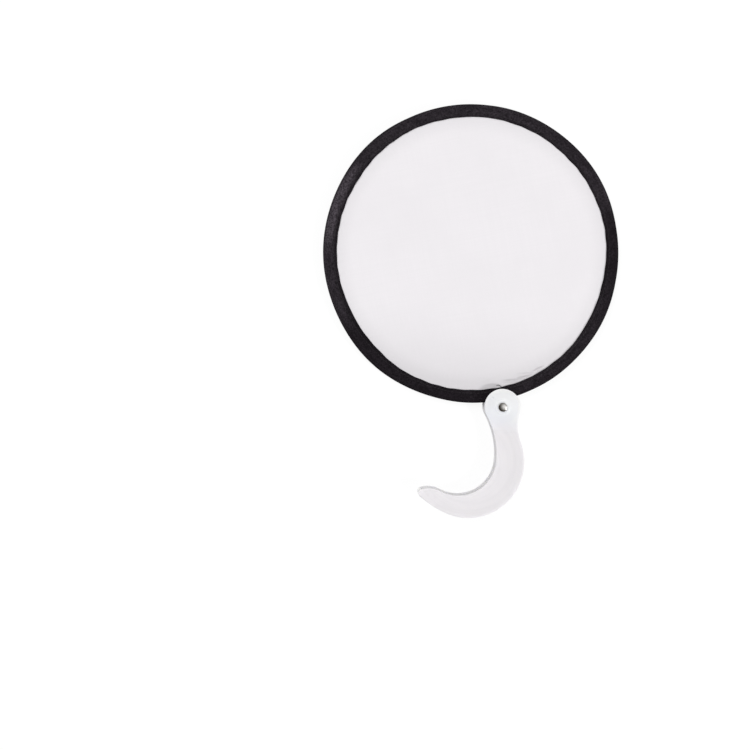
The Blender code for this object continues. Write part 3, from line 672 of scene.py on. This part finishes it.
def build_tape():
    """The folded tape: a bead over the wire, shoulders, and two layers sewn through the nylon."""
    nose = np.linspace(0.0, pi / 2, NOSE_POINTS)
    flat = np.concatenate([np.linspace(*run) for run in TAPE_POINTS]) * MM
    face = np.concatenate([flat, TAPE_WIDTH - HEM_EDGE_ROUND * np.array([1.0, 0.5, 0.0])])
    outer_depth = np.concatenate([NOSE_DEPTH * (1 - np.cos(nose)), face])
    outer_height = np.concatenate([rim_half_thickness * np.sin(nose), hem_surface(face)])
    inner_depth = np.array([TAPE_WIDTH, SHOULDER_END, SHOULDER_START, 2 * TAPE_THICKNESS, TAPE_THICKNESS])
    tunnel = rim_half_thickness - TAPE_THICKNESS
    inner_height = np.array([HEM_HALF_GAP, HEM_HALF_GAP, tunnel, tunnel, tunnel - TAPE_THICKNESS])

    # Half of the section as depth, height and whether the stitches draw it in, then its mirror image
    half = np.array([
        [*outer_depth, *inner_depth],
        [*outer_height, *inner_height],
        [1] * len(outer_depth) + [0] * len(inner_depth),
    ])
    mirrored = half[:, :0:-1] * np.array([[1], [-1], [1]])
    depth, height, drawn_in = np.hstack([half, mirrored])[:, None, :]

    stations = STITCHES * STATIONS_PER_STITCH
    angle = (np.arange(stations) / stations * tau - pi)[:, None]
    wander = hem_wander(angle) * in_hem(depth) + edge_wander(angle, depth)
    dip = np.sign(height) * drawn_in * seam_dip(angle, depth)
    points = on_hoop(angle, depth + wander, height + hem_ripple(angle, depth) - dip)
    tape = mesh_piece("rim_tape", points.reshape(-1, 3), grid_faces(*points.shape[:2]))
    return dress(tape, "hoop", tape_material(), ["rim_binding"])


def build_seam():
    """The lockstitch seam: a row of short stitches on each face, each one diving at its ends."""
    rings, sides = 9, 8
    centre = ((np.arange(STITCHES) + 0.5) / STITCHES * tau - pi)[:, None, None]
    along = np.linspace(-1.0, 1.0, rings)[:, None]
    round_thread = np.arange(sides) / sides * tau
    angle = centre + along * STITCH_FILL * pi / STITCHES
    swell = np.sqrt(np.clip(1.0 - along**8, 0.04, 1.0))
    surface = hem_surface(np.array(SEAM_DEPTH)) - seam_dip(angle, SEAM_DEPTH)
    middle = surface + THREAD_RADIUS * (STITCH_RISE - STITCH_DIVE * along**4)
    depth = SEAM_DEPTH + THREAD_RADIUS * swell * np.cos(round_thread) + hem_wander(angle) * in_hem(SEAM_DEPTH)
    height = middle + THREAD_RADIUS * swell * np.sin(round_thread)
    ripple = hem_ripple(angle, SEAM_DEPTH)
    walls = grid_faces(rings, sides, close_rows=False)
    points, faces = [], []
    for side in (1, -1):
        for stitch in on_hoop(angle, depth, side * height + ripple):
            start = len(points)
            points.extend(stitch.reshape(-1, 3))
            faces.extend((start + wall[::-side]).tolist() for wall in walls)
            first = range(start, start + sides)
            last = range(len(points) - sides, len(points))
            faces += [first[::side], last[::-side]]
    seam = mesh_piece("seam_stitches", points, faces)
    return dress(seam, "hoop", thread_material())


def build_loose_thread():
    """The end of the seam's thread, which lies over the hem and curls on the nylon above the rivet."""
    places = [pivot + Vector(place) * MM for place in LOOSE_THREAD]
    look = {"dimensions": "3D", "bevel_depth": THREAD_RADIUS, "bevel_resolution": 3, "use_fill_caps": True}
    bends = {"use_endpoint_u": True, "order_u": 3, "resolution_u": 8}
    thread = solid_curve("loose_thread", places, "NURBS", look, bends)
    return dress(thread, "hoop", thread_material())


def folds(x, y):
    """How high the folds stand, and how much shade is painted along their steep sides."""
    total, dark = np.zeros_like(x), np.zeros_like(x)
    for start, end, height, half_width in FOLDS:
        start, end = (np.array(place) * MM + np.array(pivot[:2]) for place in (start, end))
        run = end - start
        share = ((x - start[0]) * run[0] + (y - start[1]) * run[1]) / (run @ run)
        across = ((x - start[0]) * run[1] - (y - start[1]) * run[0]) / sqrt(run @ run)
        taper = smooth_step(share, -FOLD_ENDS, FOLD_TAPER)
        taper = taper * (1.0 - smooth_step(share, 1.0 - FOLD_TAPER, 1.0 + FOLD_ENDS))
        width = half_width * MM * np.where(across < 0, FOLD_STEEP_SIDE, FOLD_GENTLE_SIDE)
        total += height * MM * taper * np.exp(-((across / width) ** 2))
        dark += height * taper * np.exp(-(((across + CREASE_SHADE_PLACE) / CREASE_SHADE_WIDTH) ** 2))
    return total, dark


def build_disc():
    """The nylon: nearly flat, a little slack in the middle, puckered at the seam and folded by the rivet."""
    edge_depth = hoop_radius - OVAL - (disc_high.x - disc_low.x) / 2
    whole = hoop_radius - edge_depth
    hem = (inner_edge + HEM_MOST_OUT) / whole
    band = hem - FOLDED_BAND / whole
    middle, folded, covered = FABRIC_RINGS
    share = np.concatenate([
        np.linspace(MIDDLE_SHARE, band, middle, endpoint=False),
        np.linspace(band, hem, folded, endpoint=False),
        np.linspace(hem, 1.0, covered),
    ])[:, None]
    turn = np.arange(FABRIC_SPOKES) / FABRIC_SPOKES * tau - pi
    angle = (turn - SPOKES_DRAWN_IN * np.sin(turn))[None, :]
    radius = (rim_radius(angle) - edge_depth) * share
    depth = rim_radius(angle) - radius
    from_hem = depth - TAPE_WIDTH - hem_wander(angle)
    held = smooth_step(from_hem, HELD_FROM, FREE_FROM)
    puckers = PUCKER_HEIGHT * np.exp(-np.abs(from_hem) / PUCKER_REACH) * wobble(angle, 60, 140, seed=7)
    sag = np.cos(2 * angle + 0.5) * share + 0.5 * np.cos(3 * angle + 1.7) * share**2 - 0.6
    slack = SLACK_HEIGHT * (1.0 - share**2) * sag
    flat = on_hoop(angle, depth, 0.0)
    fold, dark = folds(flat[..., 0], flat[..., 1])
    points = on_hoop(angle, depth, held * (puckers + slack + fold)).reshape(-1, 3)
    faces = grid_faces(len(share), FABRIC_SPOKES, close_rows=False)[:, ::-1].tolist()
    faces.append(list(range(FABRIC_SPOKES)))
    disc = mesh_piece("nylon_disc", points, faces)
    # Painted shade along the folds, kept on the points for the nylon's material
    crease_shade = disc.data.attributes.new("crease_shade", "FLOAT", "POINT")
    crease_shade.data.foreach_set("value", dark.ravel().astype(np.float32))
    mend(disc.data)
    thick = disc.modifiers.new("thickness", "SOLIDIFY")
    thick.thickness = FABRIC_THICKNESS
    thick.offset = 0.0
    dress(disc, "hoop", nylon_material(), ["membrane"])
    return disc


def mend(mesh, weld=0.0):
    """Joins the points that lie within the weld distance, and turns the faces outwards."""
    edit = bmesh.new()
    edit.from_mesh(mesh)
    if weld:
        bmesh.ops.remove_doubles(edit, verts=edit.verts, dist=weld)
    bmesh.ops.recalc_face_normals(edit, faces=edit.faces)
    edit.to_mesh(mesh)
    edit.free()


def polar(centre, radius, angle):
    return centre + radius * Vector((cos(angle), sin(angle)))


def circle_meeting(centre_a, radius_a, centre_b, radius_b, side):
    """Where two circles cross: side 1 is left of the line from a to b, and side -1 is right of it."""
    line = centre_b - centre_a
    along = (radius_a**2 - radius_b**2 + line.length_squared) / (2 * line.length)
    across = sqrt(max(radius_a**2 - along**2, 0.0))
    direction = line.normalized()
    return centre_a + along * direction + side * across * direction.orthogonal()


def handle_arcs():
    """The handle's outline as (centre, radius, is convex, has a wall) arcs, clockwise from the head."""
    rivet = Vector((0.0, 0.0))
    grip = polar(rivet, GRIP_OUTER_RADIUS + GRIP_SET_DOWN, GRIP_DIRECTION)
    inner = Vector((
        grip.x + GRIP_OUTER_RADIUS - GRIP_SIDE_WIDTH - GRIP_INNER_RADIUS,
        grip.y - GRIP_OUTER_RADIUS + GRIP_BOTTOM_WIDTH + GRIP_INNER_RADIUS,
    ))
    fillet = circle_meeting(
        rivet, HEAD_RADIUS + NECK_FILLET_RADIUS, grip, GRIP_OUTER_RADIUS + NECK_FILLET_RADIUS, 1
    )
    run = polar(grip, GRIP_OUTER_RADIUS - HOOK_RUN_RADIUS, HOOK_END_ANGLE)
    crest = polar(inner, GRIP_INNER_RADIUS + HOOK_CREST_RADIUS, HOOK_CREST_ANGLE)
    tip = circle_meeting(
        run, HOOK_RUN_RADIUS - HOOK_TIP_RADIUS, crest, HOOK_CREST_RADIUS - HOOK_TIP_RADIUS, -1
    )
    neck = circle_meeting(rivet, HEAD_RADIUS + NECK_RADIUS, inner, NECK_RADIUS - GRIP_INNER_RADIUS, -1)
    return [
        (rivet, HEAD_RADIUS, True, False),
        (fillet, NECK_FILLET_RADIUS, False, True),
        (grip, GRIP_OUTER_RADIUS, True, True),
        (run, HOOK_RUN_RADIUS, True, True),
        (tip, HOOK_TIP_RADIUS, True, True),
        (crest, HOOK_CREST_RADIUS, True, False),
        (inner, GRIP_INNER_RADIUS, False, False),
        (neck, NECK_RADIUS, False, False),
    ]


def tangent_direction(arc, following):
    """The direction from the arc's centre to where it meets the following arc."""
    centre, radius, convex, _ = arc
    next_centre, next_radius, next_convex, _ = following
    line = next_centre - centre
    if convex == next_convex and next_radius > radius:
        line = -line
    return line.normalized()


def handle_outline(wall_inset=0.0, open_margin=0.0, wall_trim=0.0):
    """Points round the handle. Arcs with a wall move in by wall_inset and lose wall_trim at the wall's two
    ends, and the rest move out by open_margin."""
    arcs = handle_arcs()
    points = []
    for i, (centre, radius, convex, has_wall) in enumerate(arcs):
        before = arcs[i - 1]
        after = arcs[(i + 1) % len(arcs)]
        start = tangent_direction(before, arcs[i])
        if convex != before[2]:
            start = -start
        end = tangent_direction(arcs[i], after)
        first = atan2(start.y, start.x)
        sweep = (first - atan2(end.y, end.x)) % tau
        if not convex:
            sweep -= tau
        trim = copysign(wall_trim / radius, sweep) * (1 if has_wall else -1)
        if before[3] != has_wall:
            first -= trim
            sweep -= trim
        if after[3] != has_wall:
            sweep -= trim
        outward = -wall_inset if has_wall else open_margin
        moved_radius = radius + outward if convex else radius - outward
        facet = 2 * acos(1 - LARGEST_SAG / moved_radius)
        count = ceil(abs(sweep) / facet)
        for k in range(count + 1):
            point = polar(centre, moved_radius, first - sweep * k / count)
            if not points or (point - points[-1]).length > LARGEST_SAG:
                points.append(point)
    if (points[-1] - points[0]).length < LARGEST_SAG:
        points.pop()
    return points


def solid_curve(name, places, kind, look, bends):
    """One spline through the places, made solid: look is set on the curve, and bends on the spline."""
    data = bpy.data.curves.new(name, "CURVE")
    for key, value in look.items():
        setattr(data, key, value)
    spline = data.splines.new(kind)
    spline.points.add(len(places) - 1)
    for point, place in zip(spline.points, places):
        point.co = (*place, 1.0)
    for key, value in bends.items():
        setattr(spline, key, value)
    return baked(new_object(name, data))


def plate_mesh(name, points, thickness, rounding=0.0):
    """An outline made solid, centred on Z = 0, with its edges rounded inside the outline."""
    look = {
        "dimensions": "2D", "fill_mode": "BOTH", "extrude": thickness / 2 - rounding, "offset": -rounding,
        "bevel_depth": rounding, "bevel_resolution": EDGE_STEPS,
    }
    return solid_curve(name, [(*point, 0.0) for point in points], "POLY", look, {"use_cyclic_u": True})


def stepped(start, *steps):
    """The profile of a round from a height on, with steps of (radius, the height that it ends at)."""
    points = [(0.0, start)]
    for radius, end in steps:
        points += [(radius, points[-1][1]), (radius, end)]
    return points + [(0.0, points[-1][1])]


def turned(name, profile, facets=TURNED_FACETS, closed=False):
    """A profile of (radius, z) points turned about Z."""
    edges = [(i, i + 1) for i in range(len(profile) - 1)]
    if closed:
        edges.append((len(profile) - 1, 0))
    mesh = bpy.data.meshes.new(name)
    mesh.from_pydata([(radius, 0.0, z) for radius, z in profile], edges, [])
    shape = new_object(name, mesh)
    screw = shape.modifiers.new("turn", "SCREW")
    screw.steps = facets
    screw.render_steps = facets
    screw.use_merge_vertices = True
    screw.merge_threshold = WELD
    return baked(shape)


def shifted(piece, place):
    piece.data.transform(Matrix.Translation(place))
    return piece


def baked(source):
    """The evaluated mesh of an object as a plain welded mesh object, which takes its name and place."""
    bpy.context.view_layer.update()
    graph = bpy.context.evaluated_depsgraph_get()
    mesh = bpy.data.meshes.new_from_object(source.evaluated_get(graph))
    mend(mesh, WELD)
    name = source.name
    bpy.data.objects.remove(source)
    return new_object(name, mesh)


def cut(piece, operation, helper):
    """Joins, cuts or trims a piece with a helper, which is used up."""
    boolean = piece.modifiers.new(helper.name, "BOOLEAN")
    boolean.operation = operation
    boolean.object = helper
    boolean.solver = "EXACT"
    piece = baked(piece)
    bpy.data.objects.remove(helper)
    return piece


def rounded(profile, radius):
    """The profile with its inner corners replaced by smooth bends that start a radius from each corner."""
    profile = [Vector(point) for point in profile]
    points = [profile[0]]
    for before, corner, after in zip(profile, profile[1:], profile[2:]):
        sides = (before - corner, after - corner)
        reach = min(radius, *(BEND_MOST * side.length for side in sides))
        start, end = (corner + reach * side.normalized() for side in sides)
        for k in range(BEND_STEPS + 1):
            share = k / BEND_STEPS
            points.append(start * (1 - share) ** 2 + corner * 2 * share * (1 - share) + end * share**2)
    return [tuple(point) for point in points + profile[-1:]]


def post_places():
    """The posts' axes: a row along the grip's wall, one halfway along the run, and one in the tip."""
    grip, run, tip, crest = handle_arcs()[2:6]
    inset = WALL + POST_INSET
    places = [polar(grip[0], grip[1] - inset, angle) for angle in POST_ANGLES]
    for before, arc, after in ((grip, run, tip), (run, tip, crest)):
        middle = tangent_direction(before, arc) + tangent_direction(arc, after)
        places.append(arc[0] + (arc[1] - inset) * middle.normalized())
    return places


def raise_head(mesh):
    """Lifts the front face of the head above the grip, with a soft step across the neck."""
    low, high = (side * HEAD_STEP_LENGTH / 2 - HEAD_STEP_DOWN for side in (-1, 1))
    edit = bmesh.new()
    edit.from_mesh(mesh)
    for level in np.linspace(low, high, HEAD_STEP_CUTS):
        everything = [*edit.verts, *edit.edges, *edit.faces]
        bmesh.ops.bisect_plane(edit, geom=everything, plane_co=(0, level, 0), plane_no=(0, 1, 0))
    for vert in edit.verts:
        if vert.co.z > 0:
            vert.co.z += (head_face - half_thickness) * float(smooth_step(vert.co.y, low, high))
    edit.to_mesh(mesh)
    edit.free()


def build_shell(name, side, material, node_name):
    """One half of the handle. Side is 1 for the front and -1 for the rear."""
    shell = plate_mesh(name, handle_outline(), 2 * half_thickness, EDGE_ROUND)
    if side == 1:
        raise_head(shell.data)
    channel_half_depth = half_thickness - PLATE
    outline = handle_outline(wall_inset=WALL, open_margin=CUT_MARGIN, wall_trim=WALL_TRIM)
    shell = cut(shell, "DIFFERENCE", plate_mesh("channel", outline, 2 * channel_half_depth))

    start, root = -side * OVERLAP, side * (channel_half_depth + OVERLAP)
    shoulder, pad = side * SHOULDER_HALF_GAP, side * (channel_half_depth - PAD_HEIGHT)
    boss = stepped(start, (BOSS_RADIUS, shoulder), (SHOULDER_RADIUS, pad), (PAD_RADIUS, root))
    shell = cut(shell, "UNION", turned("boss", boss))
    for place in post_places():
        post = turned("post", stepped(start, (POST_RADIUS, root)), POST_FACETS)
        shell = cut(shell, "UNION", shifted(post, place.to_3d()))

    past_edge = handle_outline(wall_inset=-CUT_MARGIN, open_margin=CUT_MARGIN)
    past_face = half_thickness + CUT_MARGIN
    other_half = plate_mesh("other_half", past_edge, past_face)
    shell = cut(shell, "DIFFERENCE", shifted(other_half, (0, 0, -side * (past_face - PARTING_GAP) / 2)))

    if side == 1:
        shell = cut(shell, "UNION", turned("seat_disc", seat_disc_profile()))
        hole = stepped(seat_face + CUT_MARGIN, (RIVET_HOLE_RADIUS, -CUT_MARGIN))
        shell = cut(shell, "DIFFERENCE", turned("rivet_hole", hole))
        mark = turned("gate_mark", gate_mark_profile(), POST_FACETS)
        shell = cut(shell, "DIFFERENCE", shifted(mark, GATE_MARK_PLACE.to_3d()))
    else:
        shell = cut(shell, "DIFFERENCE", turned("rivet_seat", rear_seat_profile()))
    shell.data.transform(Matrix.Translation(pivot) @ Matrix.Rotation(HANDLE_ANGLE, 4, "Z"))
    dress(shell, "handle", material, [node_name])
    shell.modifiers.new("flat faces", "WEIGHTED_NORMAL").keep_sharp = True
    return shell


def seat_disc_profile():
    """The low round seat of the rivet's head, with a softened edge and foot."""
    foot = SEAT_DISC_RADIUS + SEAT_ROUND
    side = [
        (0.0, seat_face),
        (SEAT_DISC_RADIUS - SEAT_DISC_SLOPE, seat_face),
        (SEAT_DISC_RADIUS, head_face),
        (foot, head_face - 0.1 * SEAT_DISC_HEIGHT),
    ]
    return rounded(side, SEAT_ROUND) + [(foot, head_face - OVERLAP), (0.0, head_face - OVERLAP)]


def rear_seat_profile():
    seat = REAR_RECESS_DEPTH - half_thickness
    bottom = -half_thickness - CUT_MARGIN
    lip = [(RIVET_HOLE_RADIUS, seat), (REAR_RECESS_RADIUS, seat), (REAR_RECESS_RADIUS, bottom)]
    return [(0.0, CUT_MARGIN), (RIVET_HOLE_RADIUS, CUT_MARGIN)] + rounded(lip, SEAT_ROUND) + [(0.0, bottom)]


def gate_mark_profile():
    """The small round dimple where the plastic entered the mould."""
    bowl = [
        (GATE_MARK_RADIUS * sin(angle), head_face + GATE_MARK_DEPTH * (0.15 - cos(angle)))
        for angle in np.linspace(0.0, pi / 2, 8)
    ]
    return bowl + [(GATE_MARK_RADIUS, head_face + CUT_MARGIN), (0.0, head_face + CUT_MARGIN)]


def build_rivet():
    """Domed head with a small turned-in rim, and a hollow end rolled over the washer."""
    radius = rivet_high.x
    under = seat_face + SEAT_GAP
    rise = rivet_high.z - pivot.z - under - RIVET_HEAD_RIM
    dome = [
        (radius * sin(angle), under + RIVET_HEAD_RIM + rise * cos(angle) ** 1.2)
        for angle in np.linspace(0.0, pi / 2 * 0.985, 16)
    ]
    dome += [(radius, under + 0.6 * RIVET_HEAD_RIM), (0.96 * radius, under)]
    roll_bottom = rivet_low.z - pivot.z
    roll_top = roll_bottom + RIVET_ROLL_HEIGHT
    shank = [(SHANK_RADIUS, under), (SHANK_RADIUS, roll_top), (ROLL_RADIUS - 0.2 * MM, roll_top)]
    middle = (ROLL_RADIUS + RIVET_BORE_RADIUS) / 2
    half_roll = (ROLL_RADIUS - RIVET_BORE_RADIUS) / 2
    roll = [
        (middle + half_roll * cos(angle), roll_top - (roll_top - roll_bottom) * sin(angle))
        for angle in np.linspace(0.25, pi, 12)
    ]
    bore_end = roll_bottom + RIVET_BORE_DEPTH
    rivet = turned("rivet", dome + shank + roll + [(RIVET_BORE_RADIUS, bore_end), (0.0, bore_end)])
    return dress(shifted(rivet, pivot), "handle", nickel_material(), ["pivot_rivet"])


def ring_profile(inner, outer, low, high, rounding):
    """A closed rectangle of (radius, z) points with softened corners."""
    middle = (inner + outer) / 2
    loop = [(middle, high), (outer, high), (outer, low), (inner, low), (inner, high), (middle, high)]
    return rounded(loop, rounding)[:-1]


def build_washer():
    low, high = washer_low.z - pivot.z, washer_high.z - pivot.z
    profile = ring_profile(RIVET_HOLE_RADIUS, washer_high.x, low, high, WASHER_ROUND)
    washer = shifted(turned("washer", profile, closed=True), pivot)
    material = steel_material("plated_washer", (0.55, 0.54, 0.52), 0.34)
    return dress(washer, "handle", material, ["rivet_washer"])


def strap_profile():
    """The strap seen from the side, in (y, z): a stem at the rivet, and an arm over each face of the rim."""
    rim = rim_low.y - pivot.y
    thick = STRAP_THICKNESS
    over_nose = rim_half_thickness + STRAP_GAP
    over_hem = HEM_HALF_THICKNESS + STRAP_GAP
    fork, rise = rim - STRAP_GAP, rim + STRAP_GAP
    shoulder, flat = rim + SHOULDER_START, rim + SHOULDER_END
    end = tab_high.y - pivot.y
    back = 2 * (tab_low.y - pivot.y)
    outside = [
        (back, thick), (fork - thick, thick), (rise - thick, over_nose + thick),
        (shoulder, over_nose + thick), (flat, over_hem + thick), (end, over_hem + thick),
    ]
    inside = [
        (end, over_hem), (flat, over_hem), (shoulder, over_nose), (rise, over_nose), (fork, 0.5 * thick),
    ]
    half = rounded(outside, STRAP_OUTER_ROUND) + rounded(inside, STRAP_INNER_ROUND)
    return half + [(y, -z) for y, z in reversed(half)]


def build_strap():
    half_width = tab_high.x
    strap = plate_mesh("pivot_strap", strap_profile(), 2 * half_width + 2 * CUT_MARGIN)
    strap.data.transform(Matrix(((0, 0, 1, 0), (1, 0, 0, 0), (0, 1, 0, 0), (0, 0, 0, 1))))  # x, y to y, z
    round_end = [
        (half_width * cos(angle), half_width * sin(angle))
        for angle in np.linspace(0.0, -pi, 49)
    ]
    end = tab_high.y - pivot.y
    front_view = round_end + [(-half_width, end + CUT_MARGIN), (half_width, end + CUT_MARGIN)]
    height = tab_high.z - tab_low.z + CUT_MARGIN
    strap = cut(strap, "INTERSECT", plate_mesh("front_view", front_view, height))
    strap = cut(strap, "DIFFERENCE", turned("hole", stepped(height, (STRAP_HOLE_RADIUS, -height))))
    return dress(shifted(strap, pivot), "hoop", webbing_material(), ["pivot_tab"])


def give_materials_to_inner_parts():
    """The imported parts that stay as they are, inside the tape and between the plates."""
    for name, material in (
        ("hoop_wire", steel_material("spring_steel_wire", (0.45, 0.45, 0.46), 0.28)),
        ("hoop_ferrule", steel_material("plated_sleeve", (0.6, 0.6, 0.6), 0.36)),
        ("tab_eyelet", nickel_material()),
    ):
        part = frame["nodes"][name]
        part.data.materials.clear()
        part.data.materials.append(material)


def sees_surroundings(tree):
    """1 for rays that should see the plain white surroundings: the camera's, in metal and through glass."""
    path = node(tree, "LightPath")
    seen = math_node(tree, "MAXIMUM", path["Is Camera Ray"], path["Is Glossy Ray"])
    return math_node(tree, "MAXIMUM", seen, path["Is Transmission Ray"])


def build_floor():
    """A white floor that keeps the fan's shadow, and lifts its white a little for the camera."""
    half = FLOOR_SIZE / 2
    low = cad_low.z - FLOOR_GAP
    corners = [(-half, -half, low), (half, -half, low), (half, half, low), (-half, half, low)]
    floor = mesh_piece("floor", corners, [(0, 1, 2, 3)])
    material, tree, shader = new_material(
        "white_floor", Roughness=0.9, Specular_IOR_Level=0.0, Emission_Color=WHITE
    )
    seen = sees_surroundings(tree)
    shades = [(shade, shade, shade, 1.0) for shade in (FLOOR_SHADE, SEEN_FLOOR_SHADE)]
    tint = mix(tree, seen, *shades)
    feed(shader, Base_Color=tint, Emission_Strength=times(tree, seen, FLOOR_LIFT))
    floor.data.materials.append(material)


def build_world():
    world = bpy.data.worlds.new("studio")
    world.use_nodes = True
    tree = world.node_tree
    background = tree.nodes["Background"]
    background.inputs["Color"].default_value = WHITE
    feed(background, Strength=ramp(tree, sees_surroundings(tree), WORLD_LIGHT, 1.0))
    bpy.context.scene.world = world


def add_lamp(name, place, size, share):
    """A square soft lamp aimed at the origin. Share is how bright it makes a white card that lies there."""
    data = bpy.data.lights.new(name, "AREA")
    data.size = size
    data.energy = share * pi**2 * place.length_squared / place.normalized().z
    lamp = new_object(name, data)
    lamp.location = place
    lamp.rotation_euler = place.to_track_quat("Z", "Y").to_euler()


def build_lights():
    key = polar(Vector((0.0, 0.0)), KEY_DISTANCE * cos(KEY_ELEVATION), KEY_DIRECTION).to_3d()
    key.z = KEY_DISTANCE * sin(KEY_ELEVATION)
    add_lamp("key", key, KEY_SIZE, KEY_LIGHT)
    add_lamp("back", BACK_PLACE, BACK_SIZE, BACK_LIGHT)


def build_camera():
    """Looks straight down, turned and shifted as the photograph is framed."""
    pixel = PICTURE_WIDTH / PICTURE_PIXELS
    half = PICTURE_PIXELS / 2
    axis_pixel = Vector((half - CAMERA_SHIFT.x * PICTURE_PIXELS, half + CAMERA_SHIFT.y * PICTURE_PIXELS))
    from_rivet = Vector((axis_pixel.x - RIVET_PIXEL.x, RIVET_PIXEL.y - axis_pixel.y)) * pixel
    from_rivet.rotate(Matrix.Rotation(PICTURE_ROLL, 2))
    data = bpy.data.cameras.new("camera")
    data.sensor_width = SENSOR_WIDTH
    data.lens = SENSOR_WIDTH * CAMERA_HEIGHT / PICTURE_WIDTH
    data.shift_x, data.shift_y = CAMERA_SHIFT
    camera = new_object("camera", data)
    camera.location = pivot + Vector((from_rivet.x, from_rivet.y, CAMERA_HEIGHT))
    camera.rotation_euler = (0.0, 0.0, PICTURE_ROLL)
    bpy.context.scene.camera = camera


build_camera()
build_tape()
build_seam()
build_disc()
build_loose_thread()
build_strap()
front_plastic = plastic_material("frosted_plastic_front", FRONT_LIGHT_DEPTH)
rear_plastic = plastic_material("frosted_plastic_rear", REAR_LIGHT_DEPTH)
build_shell("front_handle_shell", 1, front_plastic, "handle_front_shell")
build_shell("rear_handle_shell", -1, rear_plastic, "handle_rear_shell")
build_rivet()
build_washer()
give_materials_to_inner_parts()
build_floor()
build_world()
build_lights()
bpy.context.scene.view_settings.view_transform = "Standard"
